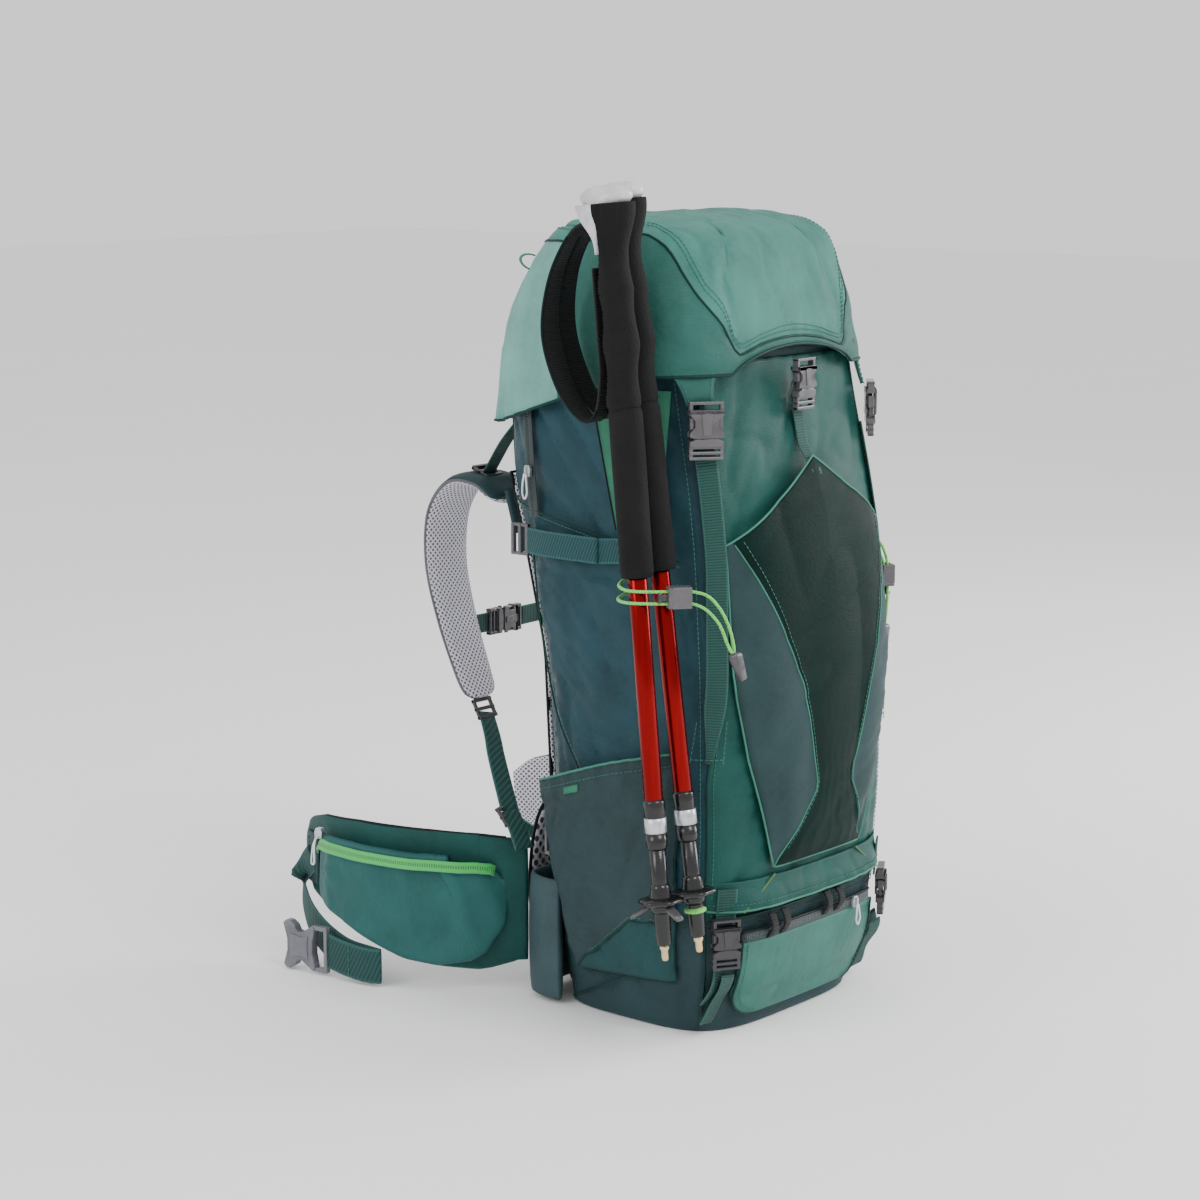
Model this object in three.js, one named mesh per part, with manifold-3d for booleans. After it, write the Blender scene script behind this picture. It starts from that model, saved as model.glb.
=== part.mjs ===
// A trekking backpack with a lid, a front pocket, a hip belt and two stowed poles.
// Millimetres, +Z up. The outer front faces -Y, the wearer stands at +Y, the wearer's left is -X.
// The origin is the centre of the flat base. Touching pieces keep a gap of GAP.
import * as THREE from 'three';
import { mergeVertices } from 'three/addons/utils/BufferGeometryUtils.js';
import Module from 'manifold-3d';

const wasm = await Module();
wasm.setup();

// ---- Driving dimensions ----
const GAP = 0.4; // between pieces that touch
const WALL = 4.5; // fabric wall with its lining
const RING_POINTS = 44; // points round a bag section
const SQUARENESS = 4; // exponent of the bag's rounded rectangular section
const WEBBING = 25; // width of the lid and compression webbing
const NARROW = 20; // width of the front, bottom and sternum webbing
const BELT = 38; // width of the hip belt webbing
const BAND = 2; // thickness of any webbing
const SPLIT_Z = 118; // the main bag starts here, above the bottom compartment
const RIM_Z = 640; // top rim of the main bag
const FIN = { x: 11, y: 298, r: 204, root: 226, tip: 147 }; // arc of the left hip fin in plan
const PAD = 14; // thickness of the back pad, straps and fins
const POLE_SHAFT_R = 8.8;
const SIDES = { left: -1, right: 1 };

// Outer sections of the bag: height, front, back and half width.
const BAG = [
  { z: 0, front: -94, back: 107, half: 128 },
  { z: 14, front: -100, back: 110, half: 132 },
  { z: 60, front: -116, back: 116, half: 145 },
  { z: 118, front: -120, back: 120, half: 150 },
  { z: 200, front: -120, back: 120, half: 152 },
  { z: 345, front: -115, back: 128, half: 154 },
  { z: 460, front: -107, back: 156, half: 153 },
  { z: 520, front: -100, back: 174, half: 151 },
  { z: 600, front: -90, back: 180, half: 148 },
  { z: 650, front: -81, back: 178, half: 146 },
];

// Outer sections of the lid, from its hem to its crown.
const LID = [
  { z: 556, front: -94, back: 192, half: 157 },
  { z: 640, front: -93, back: 188, half: 157 },
  { z: 690, front: -84, back: 176, half: 155 },
  { z: 726, front: -66, back: 160, half: 148 },
  { z: 752, front: -42, back: 142, half: 133 },
  { z: 767, front: -8, back: 116, half: 104 },
  { z: 772, front: 28, back: 80, half: 58 },
];

// ---- Materials ----
const finish = (color, roughness = 0.8, metalness = 0) =>
  new THREE.MeshStandardMaterial({ color, roughness, metalness });
const FABRIC_LID = finish(0x65948a);
const FABRIC_BODY = finish(0x2f6b5e);
const FABRIC_DARK = finish(0x26454a);
const FABRIC_SLATE = finish(0x3e5256);
const FABRIC_PANEL = finish(0x5b8c80);
const FABRIC_BELT = finish(0x2c6257);
const FABRIC_POCKET = finish(0x437270);
const MESH = finish(0xcfcbd8, 0.9);
const WEB = finish(0x2a5a50);
const BUCKLE_LIGHT = finish(0x7a7376, 0.45);
const BUCKLE_DARK = finish(0x4a4449, 0.45);
const ELASTIC = finish(0x8be36b, 0.6);
const ZINC = finish(0xb5b7ba, 0.35, 0.9);
const ANODISED = finish(0xc01a0e, 0.25, 0.7);
const GRIP = finish(0x1c1a1c, 0.9);
const FRAME_METAL = finish(0x9a9da0, 0.35, 0.9);
const FRAME_PLASTIC = finish(0x2a2c2e, 0.6);

const pack = new THREE.Group();

function add(name, geometry, material) {
  const mesh = new THREE.Mesh(geometry, material);
  mesh.name = name;
  pack.add(mesh);
  return mesh;
}

// ---- Booleans ----
function toSolid(geometry) {
  const bare = geometry.index ? geometry.clone() : mergeVertices(stripped(geometry), 1e-3);
  const merged = geometry.index ? mergeVertices(stripped(bare), 1e-3) : bare;
  return new wasm.Manifold(new wasm.Mesh({
    numProp: 3,
    vertProperties: new Float32Array(merged.attributes.position.array),
    triVerts: new Uint32Array(merged.index.array),
  }));
}

function stripped(geometry) {
  const bare = new THREE.BufferGeometry();
  bare.setAttribute('position', geometry.attributes.position.clone());
  bare.setIndex(geometry.index);
  return bare;
}

function toGeometry(solid) {
  const mesh = solid.getMesh();
  const geometry = new THREE.BufferGeometry();
  geometry.setAttribute('position', new THREE.BufferAttribute(mesh.vertProperties, 3));
  geometry.setIndex(new THREE.BufferAttribute(mesh.triVerts, 1));
  return geometry;
}

const join = (...solids) => solids.reduce((sum, solid) => sum.add(solid));

function box(width, depth, height, x = 0, y = 0, z = 0) {
  const geometry = new THREE.BoxGeometry(width, depth, height);
  geometry.translate(x, y, z);
  return toSolid(geometry);
}

// ---- Lofts ----
// A closed body through rings of equal length, with a flat cap on the first and the last ring.
function loft(rings) {
  const count = rings[0].length;
  const points = rings.flat();
  const faces = [];
  for (let r = 0; r < rings.length - 1; r += 1) {
    for (let i = 0; i < count; i += 1) {
      const a = r * count + i;
      const b = r * count + ((i + 1) % count);
      faces.push(a, b, b + count, a, b + count, a + count);
    }
  }
  const last = (rings.length - 1) * count;
  for (let i = 1; i < count - 1; i += 1) {
    faces.push(0, i + 1, i);
    faces.push(last, last + i, last + i + 1);
  }
  const geometry = new THREE.BufferGeometry();
  geometry.setAttribute('position', new THREE.Float32BufferAttribute(points.flatMap((p) => p.toArray()), 3));
  geometry.setIndex(faces);
  return geometry;
}

// A band or pad along a path: each station gives a centre, a width direction, a width and a thickness.
// A corner above 0 rounds the section's edges by that much.
function band(stations, corner = 0) {
  const rings = stations.map((station, i) => {
    const before = stations[Math.max(i - 1, 0)].at;
    const after = stations[Math.min(i + 1, stations.length - 1)].at;
    const along = after.clone().sub(before).normalize();
    const across = station.across.clone().addScaledVector(along, -station.across.dot(along)).normalize();
    const out = across.clone().cross(along);
    const w = station.width / 2;
    const t = station.thick / 2;
    const c = corner;
    const section = c
      ? [[-w, -t + c], [-w + c, -t], [w - c, -t], [w, -t + c], [w, t - c], [w - c, t], [-w + c, t], [-w, t - c]]
      : [[-w, -t], [w, -t], [w, t], [-w, t]];
    return section.map(([u, v]) => station.at.clone().addScaledVector(across, u).addScaledVector(out, v));
  });
  return outward(loft(rings));
}

// Turns a closed body's faces outward if they point in.
function outward(geometry) {
  const p = geometry.attributes.position;
  const index = geometry.index.array;
  const [a, b, c] = [0, 1, 2].map(() => new THREE.Vector3());
  let volume = 0;
  for (let i = 0; i < index.length; i += 3) {
    a.fromBufferAttribute(p, index[i]);
    b.fromBufferAttribute(p, index[i + 1]);
    c.fromBufferAttribute(p, index[i + 2]);
    volume += a.dot(b.cross(c));
  }
  if (volume < 0) {
    for (let i = 0; i < index.length; i += 3) {
      [index[i], index[i + 1]] = [index[i + 1], index[i]];
    }
  }
  return geometry;
}

// A round rod or cord, drawn with eight sides, along a smooth curve through the given points.
function rod(points, radius, steps) {
  const circle = new THREE.Shape();
  circle.absarc(0, 0, radius, 0, Math.PI * 2);
  const path = new THREE.CatmullRomCurve3(points, false, 'centripetal');
  return new THREE.ExtrudeGeometry(circle, { steps, curveSegments: 4, extrudePath: path, bevelEnabled: false });
}

const vec = (x, y, z) => new THREE.Vector3(x, y, z);

// ---- Bag sections ----
function sectionAt(table, z) {
  const next = Math.max(1, table.findIndex((row) => row.z >= z));
  const above = table.at(z > table.at(-1).z ? -1 : next);
  const below = table.at(z > table.at(-1).z ? -2 : next - 1);
  const t = (z - below.z) / (above.z - below.z);
  const mix = (key) => below[key] + (above[key] - below[key]) * t;
  return { z, front: mix('front'), back: mix('back'), half: mix('half') };
}

function sectionRing({ z, front, back, half }, grow = 0) {
  const ring = [];
  const power = 2 / SQUARENESS;
  for (let i = 0; i < RING_POINTS; i += 1) {
    const angle = (i / RING_POINTS) * Math.PI * 2;
    const c = Math.cos(angle);
    const s = Math.sin(angle);
    const x = Math.sign(c) * Math.abs(c) ** power * (half + grow);
    const y = (front + back) / 2 + Math.sign(s) * Math.abs(s) ** power * ((back - front) / 2 + grow);
    ring.push(vec(x, y, z));
  }
  return ring;
}

// The bag's outer shape as a plain solid, grown outward on all its upright faces.
function bagSolid(grow) {
  const rows = [{ ...BAG[0], z: -1 }, ...BAG.slice(1)];
  return toSolid(loft(rows.map((row) => sectionRing(row, grow))));
}

// A point on the bag at a given x on the front half, and how far the surface there is turned about Z.
function onFront(x, z, off = 0) {
  const s = sectionAt(BAG, z);
  const depth = (s.back - s.front) / 2;
  const u = Math.abs(x) / s.half;
  const v = (1 - u ** SQUARENESS) ** (1 / SQUARENESS);
  const nx = (Math.sign(x) * u ** (SQUARENESS - 1)) / s.half;
  const ny = -(v ** (SQUARENESS - 1)) / depth;
  const turn = Math.atan2(nx, -ny);
  const at = vec(x + Math.sin(turn) * off, (s.front + s.back) / 2 - v * depth - Math.cos(turn) * off, z);
  return { at, turn };
}

// The same for a given y on the left or right side.
function onSide(side, y, z, off = 0) {
  const s = sectionAt(BAG, z);
  const depth = (s.back - s.front) / 2;
  const away = (y - (s.front + s.back) / 2) / depth;
  const w = Math.abs(away);
  const u = (1 - w ** SQUARENESS) ** (1 / SQUARENESS);
  const normal = vec((side * u ** (SQUARENESS - 1)) / s.half, (Math.sign(away) * w ** (SQUARENESS - 1)) / depth, 0);
  return vec(side * s.half * u, y, z).addScaledVector(normal.normalize(), off);
}

const backAt = (z) => sectionAt(BAG, z).back;

// ---- Shells of the bag ----
function tub(rows, floorZ) {
  const outer = rows.map((row) => sectionRing(row));
  const inner = rows.filter((row) => row.z > floorZ).map((row) => sectionRing(row, -WALL)).reverse();
  const floor = sectionRing(sectionAt(rows, floorZ), -WALL);
  return loft([...outer, ...inner, floor]);
}

const sectionsBetween = (low, high) => [
  sectionAt(BAG, low), ...BAG.filter((row) => row.z > low + 1 && row.z < high - 1), sectionAt(BAG, high),
];

function roundedPanel(half, low, high, lowRadius, highRadius) {
  const panel = new THREE.Shape();
  panel.moveTo(-half + lowRadius, low);
  panel.lineTo(half - lowRadius, low);
  panel.absarc(half - lowRadius, low + lowRadius, lowRadius, -Math.PI / 2, 0);
  panel.lineTo(half, high - highRadius);
  panel.absarc(half - highRadius, high - highRadius, highRadius, 0, Math.PI / 2);
  panel.lineTo(-half + highRadius, high);
  panel.absarc(-half + highRadius, high - highRadius, highRadius, Math.PI / 2, Math.PI);
  panel.lineTo(-half, low + lowRadius);
  panel.absarc(-half + lowRadius, low + lowRadius, lowRadius, Math.PI, Math.PI * 1.5);
  return panel;
}

// A shape drawn in X and Z, as a block that runs from y = -200 to y = -30.
function frontBlock(shape) {
  const geometry = new THREE.ExtrudeGeometry(shape, { depth: 170, bevelEnabled: false, curveSegments: 5 });
  geometry.rotateX(Math.PI / 2);
  geometry.translate(0, -30, 0);
  return toSolid(geometry);
}

// A shape drawn in Y and Z, as a block that runs out from |x| = 60 to |x| = 230 on one side.
function sideBlock(shape, side) {
  const geometry = new THREE.ExtrudeGeometry(shape, { depth: 170, bevelEnabled: false, curveSegments: 5 });
  geometry.applyMatrix4(new THREE.Matrix4().set(0, 0, 1, 0, 1, 0, 0, 0, 0, 1, 0, 0, 0, 0, 0, 1));
  geometry.translate(side > 0 ? 60 : -230, 0, 0);
  return toSolid(geometry);
}

const outline = (...points) => new THREE.Shape(points.map(([a, b]) => new THREE.Vector2(a, b)));

function bagShells() {
  add('main_bag', tub(sectionsBetween(SPLIT_Z, RIM_Z), SPLIT_Z + 3), FABRIC_BODY);
  const window = frontBlock(roundedPanel(90, 24, 84, 20, 6));
  const lower = toSolid(tub(sectionsBetween(0, SPLIT_Z - GAP), 3));
  add('bottom_compartment', toGeometry(lower.subtract(window)), FABRIC_DARK);
  const flap = frontBlock(roundedPanel(104, 14, 92, 30, 6));
  const flapSkin = flap.intersect(bagSolid(4)).subtract(bagSolid(GAP));
  add('bottom_flap', toGeometry(flapSkin), FABRIC_PANEL);
}

// The gathered collar narrows above the rim, under the lid.
function snowCollar() {
  const rim = sectionAt(BAG, RIM_Z);
  const row = (z, shrink) => ({ z, front: rim.front + shrink, back: rim.back - shrink, half: rim.half - shrink });
  const rows = [row(RIM_Z + GAP, 0), row(662, 8), row(684, 24)];
  const inner = rows.map((r) => sectionRing(r, -2.5)).reverse();
  const rings = [...rows.map((r) => sectionRing(r)), ...inner];
  const tube = loft([...rings, rings[0]]);
  // the first and last rings meet, so the two flat caps between them are left out
  const caps = (RING_POINTS - 2) * 6;
  tube.setIndex([...tube.index.array.slice(0, tube.index.array.length - caps)]);
  add('snow_collar', toGeometry(toSolid(tube)), FABRIC_SLATE);
}

function lidHood() {
  const outer = LID.map((row) => sectionRing(row));
  const inner = LID.map((row) => sectionRing({ ...row, z: row.z - (row.z > 600 ? WALL : 1) }, -WALL)).reverse();
  const cap = toSolid(loft(outer));
  const hollow = toSolid(outward(loft(inner)));
  const below = sideBlock(outline([-220, 520], [220, 520], [220, 563], [150, 572], [60, 602], [-40, 626], [-220, 632]), 1);
  const wide = below.add(below.translate([-290, 0, 0])).add(below.translate([-150, 0, 0]));
  const arch = new THREE.Shape();
  arch.absellipse(0, 612, 100, 38, 0, Math.PI);
  const tabs = Object.values(SIDES).map((side) => {
    const top = onFront(side * 122, 640, 5.2);
    const low = onFront(side * 123, 612, 6.2);
    const across = vec(Math.cos(low.turn), Math.sin(low.turn), 0);
    return toSolid(band([
      { at: top.at, across, width: 52, thick: 3 },
      { at: low.at, across, width: 30, thick: 3 },
    ]));
  });
  const hood = join(cap.subtract(hollow).subtract(wide).subtract(frontBlock(arch)), ...tabs);
  add('lid_hood', toGeometry(hood.subtract(bagSolid(1.5))), FABRIC_LID);
}

// ---- Pockets ----
function frontPocket() {
  const edge = (inset) => outline(
    [-82 + inset, 162 + inset], [82 - inset, 162 + inset], [109 - inset, 473], [0, 547], [-109 + inset, 473],
  );
  const mouth = outline([-79, 165], [79, 165], [105, 470], [105, 600], [-105, 600], [-105, 470]);
  const shell = frontBlock(edge(0)).intersect(bagSolid(16)).subtract(bagSolid(GAP));
  const space = frontBlock(mouth).intersect(bagSolid(13));
  add('front_pocket', toGeometry(shell.subtract(space)), FABRIC_BODY);
}

function sidePocket(name, side) {
  const shape = outline([-62, 52], [60, 44], [80, 128], [112, 200], [112, 218], [-74, 262]);
  const mouth = outline([-58, 56], [57, 48], [77, 130], [108, 200], [108, 320], [-70, 320]);
  const shell = sideBlock(shape, side).intersect(bagSolid(15)).subtract(bagSolid(GAP));
  const space = sideBlock(mouth, side).intersect(bagSolid(12));
  add(`side_pocket_${name}`, toGeometry(shell.subtract(space)), FABRIC_SLATE);
}

// ---- Back and frame ----
function backPanel(low, high, step, off, thick, width) {
  const stations = [];
  for (let z = low; z <= high; z += step) {
    stations.push({ at: vec(0, backAt(z) + off + thick / 2, z), across: vec(1, 0, 0), width, thick });
  }
  return stations;
}

const STAY_DEPTH = WALL + 14; // from the bag's outer back to the middle of the frame rod

function backAndFrame() {
  add('back_pad', band(backPanel(206, 541, 33.5, 3, PAD - 2, 200), 4), MESH);
  add('frame_sheet', band(backPanel(140, 600, 46, -WALL - 8, 2, 150)), FRAME_PLASTIC);
  const stay = (x) => [140, 230, 345, 460, 520, 575].map((z) => vec(x, backAt(z) - STAY_DEPTH, z));
  const top = [vec(-44, backAt(598) - STAY_DEPTH, 598), vec(44, backAt(598) - STAY_DEPTH, 598)];
  add('frame_rod', rod([...stay(-62), ...top, ...stay(62).reverse()], 3, 44), FRAME_METAL);
  const lumbar = [28, 60, 112, 164, 200].map((z, i) => ({
    at: vec(0, [156, 160, 161, 158, 153][i], z), across: vec(1, 0, 0), width: [150, 184, 190, 176, 130][i], thick: PAD,
  }));
  add('lumbar_pad', band(lumbar, 4), MESH);
  hipBase();
}

function hipBase() {
  const plan = outline([-138, 60], [138, 60], [141, 104], [128, 132], [104, 136], [-104, 136], [-128, 132], [-141, 104]);
  const wide = new THREE.ExtrudeGeometry(plan, { depth: 122, bevelEnabled: false });
  wide.translate(0, 0, 4);
  const middle = box(176, 66, 178, 0, 112, 94);
  const solid = join(toSolid(wide), middle).subtract(bagSolid(GAP)).subtract(box(400, 160, 400, 0, 6, 200));
  add('hip_base', toGeometry(solid), FABRIC_BELT);
}

// ---- Webbing on the bag ----
const lidStrapX = (z) => 138 - ((z - 270) / 283) * 14;

function lidStrap(name, side) {
  const stations = [270, 300, 345, 400, 460, 520, 572].map((z, i) => {
    const spot = onFront(side * lidStrapX(z), z, 2);
    return { at: spot.at, across: vec(Math.cos(spot.turn), Math.sin(spot.turn), 0), width: i ? WEBBING : 12, thick: BAND };
  });
  add(`lid_strap_${name}`, band(stations), WEB);
}

function compressionStrap(name, side) {
  const stations = [18, 38, 58, 78, 98, 116, 128].map((y) => ({
    at: onSide(side, y, 461, 4.4), across: vec(0, 0, 1), width: WEBBING, thick: BAND,
  }));
  add(`compression_strap_${name}`, band(stations), WEB);
}

function frontStrap() {
  const stations = [550, 575, 606].map((z) => ({
    at: onFront(0, z, GAP + BAND / 2).at, across: vec(1, 0, 0), width: NARROW, thick: BAND,
  }));
  add('front_strap', band(stations), WEB);
}

// ---- Side-release buckles ----
// Local axes: X across the webbing, -Y out of the bag, Z up. The tongue points up into the socket.
function socket(web) {
  const width = web + 9;
  const tall = web * 1.15;
  const body = box(width, 11, tall, 0, 0, tall / 2);
  const cavity = box(web + 5, 7, tall - 3, 0, 0, (tall - 3) / 2 - 1);
  const bar = box(width, 7, 3, 0, 0, tall + 8);
  const posts = [-1, 1].map((s) => box(4, 7, 9, (s * (width - 4)) / 2, 0, tall + 4));
  return join(body, bar, ...posts).subtract(cavity);
}

function tongue(web) {
  const width = web + 9;
  const reach = web * 0.85;
  const prongs = [-1, 0, 1].map((s) => box(s ? 4 : 5, 4, reach, s * (web / 2 - 2), 0, reach / 2 - 1));
  const tip = box(web, 4, 5, 0, 0, reach - 3);
  const root = box(width, 9, 7, 0, 0, -4);
  const ladder = box(width, 7, 18, 0, 0, -15.5).subtract(box(web + 1, 20, 4, 0, 0, -12)).subtract(
    box(web + 1, 20, 4, 0, 0, -19),
  );
  return join(root, ladder, tip, ...prongs);
}

function placeOn(geometrySolid, spot, tilt = 0) {
  const geometry = toGeometry(geometrySolid);
  geometry.rotateX(tilt);
  geometry.rotateZ(spot.turn);
  geometry.translate(spot.at.x, spot.at.y, spot.at.z);
  return geometry;
}

function bucklePair(names, web, spot, materials) {
  add(names[0], placeOn(socket(web), spot), materials[0]);
  add(names[1], placeOn(tongue(web), { ...spot, at: spot.at.clone().setZ(spot.at.z - 1.2) }), materials[1]);
}

function buckles() {
  for (const [name, side] of Object.entries(SIDES)) {
    const high = onFront(side * 123.5, 573, 12.5);
    high.at.y -= 1;
    bucklePair([`lid_buckle_${name}`, `lid_clip_${name}`], WEBBING, high, [BUCKLE_LIGHT, BUCKLE_LIGHT]);
    const low = onFront(side * 121, 92, 12);
    bucklePair([`bottom_buckle_${name}`, `bottom_clip_${name}`], NARROW, low, [BUCKLE_DARK, BUCKLE_DARK]);
  }
  const centre = onFront(0, 610, 13);
  bucklePair(['front_buckle', 'front_clip'], NARROW, centre, [BUCKLE_LIGHT, BUCKLE_LIGHT]);
}

// ---- Harness ----
const STRAP_PATH = [
  [72, 203, 486], [74, 226, 501], [78, 258, 500], [83, 281, 468], [88, 281, 415], [92, 263, 360], [94, 241, 310], [95, 226, 282],
];

function harness() {
  add('yoke', band(backPanel(455, 497, 21, 18, 10, 196), 3), FABRIC_DARK);
  for (const [name, side] of Object.entries(SIDES)) {
    const curve = new THREE.CatmullRomCurve3(STRAP_PATH.map(([x, y, z]) => vec(x * side, y, z)));
    const stations = [];
    for (let i = 0; i <= 14; i += 1) {
      const t = i / 14;
      stations.push({ at: curve.getPoint(t), across: vec(1, 0, 0), width: 66 - 22 * t ** 2, thick: 13 - 3 * t });
    }
    add(`shoulder_strap_${name}`, band(stations, 4), MESH);
    add(`lower_webbing_${name}`, band([
      { at: vec(side * 96, 220, 268), across: vec(1, 0, 0), width: NARROW, thick: BAND },
      { at: vec(side * 112, 191, 226), across: vec(1, 0.3, 0), width: NARROW, thick: BAND },
      { at: vec(side * 130, 158, 182), across: vec(1, 0.5, 0), width: NARROW, thick: BAND },
    ]), WEB);
  }
  const chest = vec(-16, 271, 346);
  const lay = (solid) => {
    const geometry = toGeometry(solid);
    geometry.rotateY(Math.PI / 2);
    geometry.translate(chest.x, chest.y, chest.z);
    return toSolid(geometry);
  };
  const webbing = (x0, x1) => box(x1 - x0, BAND, NARROW, (x0 + x1) / 2, chest.y, chest.z);
  add('sternum_buckle', toGeometry(join(lay(socket(NARROW)), webbing(13, 84))), BUCKLE_DARK);
  add('sternum_clip', toGeometry(join(lay(tongue(NARROW).translate([0, 0, -1.2])), webbing(-84, -38))), BUCKLE_DARK);
}

function haulLoop() {
  const arc = new THREE.CatmullRomCurve3([
    vec(-34, 200, 549), vec(-34, 211, 541), vec(-27, 219, 524), vec(0, 222, 512),
    vec(27, 219, 524), vec(34, 211, 541), vec(34, 200, 549),
  ]);
  const stations = [];
  for (let i = 0; i <= 14; i += 1) {
    stations.push({ at: arc.getPoint(i / 14), across: vec(0, 1, 0.45), width: 13, thick: 3 });
  }
  add('haul_loop', band(stations), WEB);
}

// ---- Hip belt ----
function finPoint(degrees, radius, z) {
  const angle = THREE.MathUtils.degToRad(degrees);
  return vec(FIN.x + radius * Math.cos(angle), FIN.y + radius * Math.sin(angle), z);
}

// Shape of the fin and of its pocket along the arc, from the root at 0 to the tip at 1.
const FIN_SHAPE = [
  { at: 0, low: 30, high: 156 }, { at: 0.12, low: 22, high: 160 }, { at: 0.35, low: 20, high: 162 },
  { at: 0.6, low: 30, high: 161 }, { at: 0.8, low: 44, high: 156 }, { at: 0.93, low: 60, high: 146 },
  { at: 1, low: 76, high: 130 },
];

const POCKET_SHAPE = [
  { at: 0.2, low: 54, high: 116, bulge: 6 }, { at: 0.28, low: 34, high: 128, bulge: 18 },
  { at: 0.45, low: 36, high: 134, bulge: 25 }, { at: 0.65, low: 48, high: 138, bulge: 24 },
  { at: 0.78, low: 58, high: 138, bulge: 16 }, { at: 0.84, low: 66, high: 128, bulge: 6 },
];

const ARC_STEPS = 16; // stations along the whole arc, shared by the fin and its pocket

function arcBody(shape, inner, outer) {
  const stations = [];
  for (let i = 0; i <= ARC_STEPS; i += 1) {
    const at = i / ARC_STEPS;
    if (at < shape[0].at || at > shape.at(-1).at) continue;
    const next = Math.max(1, shape.findIndex((row) => row.at >= at));
    const t = (at - shape[next - 1].at) / (shape[next].at - shape[next - 1].at);
    const mix = (key) => shape[next - 1][key] + (shape[next][key] - shape[next - 1][key]) * t;
    const reach = outer(mix('bulge'));
    stations.push({
      at: finPoint(FIN.root + (FIN.tip - FIN.root) * at, (inner + reach) / 2, (mix('low') + mix('high')) / 2),
      across: vec(0, 0, 1),
      width: mix('high') - mix('low'),
      thick: reach - inner,
    });
  }
  return stations;
}

function mirrorTo(geometry, side) {
  if (side < 0) return geometry;
  geometry.scale(-1, 1, 1);
  return outward(geometry);
}

function hipBelt() {
  const half = PAD / 2;
  for (const [name, side] of Object.entries(SIDES)) {
    const fin = band(arcBody(FIN_SHAPE, FIN.r - half, () => FIN.r + half), 4);
    add(`hip_fin_${name}`, mirrorTo(fin, side), FABRIC_BELT);
    const face = FIN.r + half + 1.6; // clear of the fin's flats between stations
    const pocket = band(arcBody(POCKET_SHAPE, face, (bulge) => face + bulge), 2.5);
    add(`hip_pocket_${name}`, mirrorTo(pocket, side), FABRIC_POCKET);
    const start = FIN.root + (FIN.tip - FIN.root) * 0.76;
    const slider = band([-1.4, 1.4].map((turn) => ({
      at: finPoint(start + turn, FIN.r + 17, 143), across: vec(0, 0, 1), width: 7, thick: 8,
    })));
    add(`zip_slider_${name}`, mirrorTo(slider, side), ZINC);
    add(`belt_webbing_${name}`, mirrorTo(beltWebbing(), side), WEB);
  }
  beltBuckles();
}

// The webbing leaves the fin's tip, falls back under the fin and folds forward again to its buckle.
const BELT_FACE = FIN.r + PAD / 2 + 3;

function beltWebbing() {
  const run = [
    { turn: 149, z: 92, r: BELT_FACE }, { turn: 152, z: 64, r: BELT_FACE + 3 }, { turn: 162, z: 34, r: BELT_FACE + 6 },
    { turn: 176, z: 22, r: BELT_FACE + 8 }, { turn: 181, z: 21, r: BELT_FACE + 12 }, { turn: 176, z: 22, r: BELT_FACE + 16 },
    { turn: 166, z: 26, r: BELT_FACE + 17 },
  ];
  return band(run.map(({ turn, z, r }) => ({
    at: finPoint(turn, r, z), across: vec(0, 0, 1), width: z > 50 ? 30 : BELT - 2, thick: BAND,
  })));
}

function beltBuckles() {
  const halves = [['belt_clip', tongue(BELT), -1], ['belt_buckle', socket(BELT), 1]];
  for (const [name, solid, side] of halves) {
    const geometry = toGeometry(solid);
    const up = name === 'belt_clip' ? Math.PI / 2 : -Math.PI / 2;
    geometry.rotateY(-up);
    const spot = finPoint(name === 'belt_clip' ? 157.5 : 149, BELT_FACE + 17, 26);
    geometry.rotateZ(THREE.MathUtils.degToRad(-116));
    geometry.translate(spot.x, spot.y, spot.z);
    add(name, mirrorTo(geometry, side), BUCKLE_LIGHT);
  }
}

// ---- Pole holder cords ----
// Left: the elastic leaves the bag, passes outside both shafts, runs through the lock to the pull and
// returns below. Right: the same elastic hangs empty.
const CORD_LEFT = [
  [-152.5, -34, 446], [-172, -38, 446], [-194, -42, 445], [-212, -50, 443], [-219, -62, 441], [-215, -73, 440],
  [-206, -82, 439.5], [-195.4, -89.8, 439], [-184.5, -98.5, 439], [-173.6, -107.2, 438], [-163, -116, 433],
  [-155, -124, 420], [-150, -130, 403], [-148, -133, 388], [-150, -135, 381.5], [-154, -135, 383], [-157, -132, 392],
  [-160, -126, 408], [-166, -116, 421], [-174.5, -106.5, 427], [-184.5, -98.5, 428], [-195.4, -89.8, 428],
  [-206, -82, 428.5], [-215, -73, 429], [-219.5, -62, 429.5], [-212, -49, 430], [-194, -41, 431], [-172, -37, 432],
  [-152.5, -33, 433],
];
const CORD_RIGHT = [
  [149.5, -58, 450], [157, -61, 451], [165, -67, 448], [170, -76, 438], [171.3, -82, 424], [171.3, -84, 407],
  [171.5, -84, 390], [172, -83, 372], [172.5, -81, 358], [174, -78.5, 355], [175.5, -77, 358], [176.5, -76, 372],
  [177.5, -75.5, 390], [177.7, -75, 407], [177, -73, 422], [172, -66, 434], [162, -58, 438], [149.8, -54, 438],
];
const LOCKS = {
  left: { at: vec(-184.5, -98.5, 433.5), turn: -2.246, tilt: 0 },
  right: { at: vec(174.5, -79.5, 407), turn: -0.619, tilt: Math.PI / 2 },
};

// Local axes of a lock: the two strands run along Y, above each other, and the button slides in between them.
function placeLockPart(solid, { at, turn, tilt }) {
  const geometry = toGeometry(solid);
  geometry.rotateX(tilt);
  geometry.rotateZ(turn);
  geometry.translate(at.x, at.y, at.z);
  return geometry;
}

function cordPull(name, top, low) {
  const across = vec(1, 0, 0);
  add(name, band([{ at: top, across, width: 14, thick: 9 }, { at: low, across, width: 9, thick: 5 }]), BUCKLE_LIGHT);
}

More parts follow.
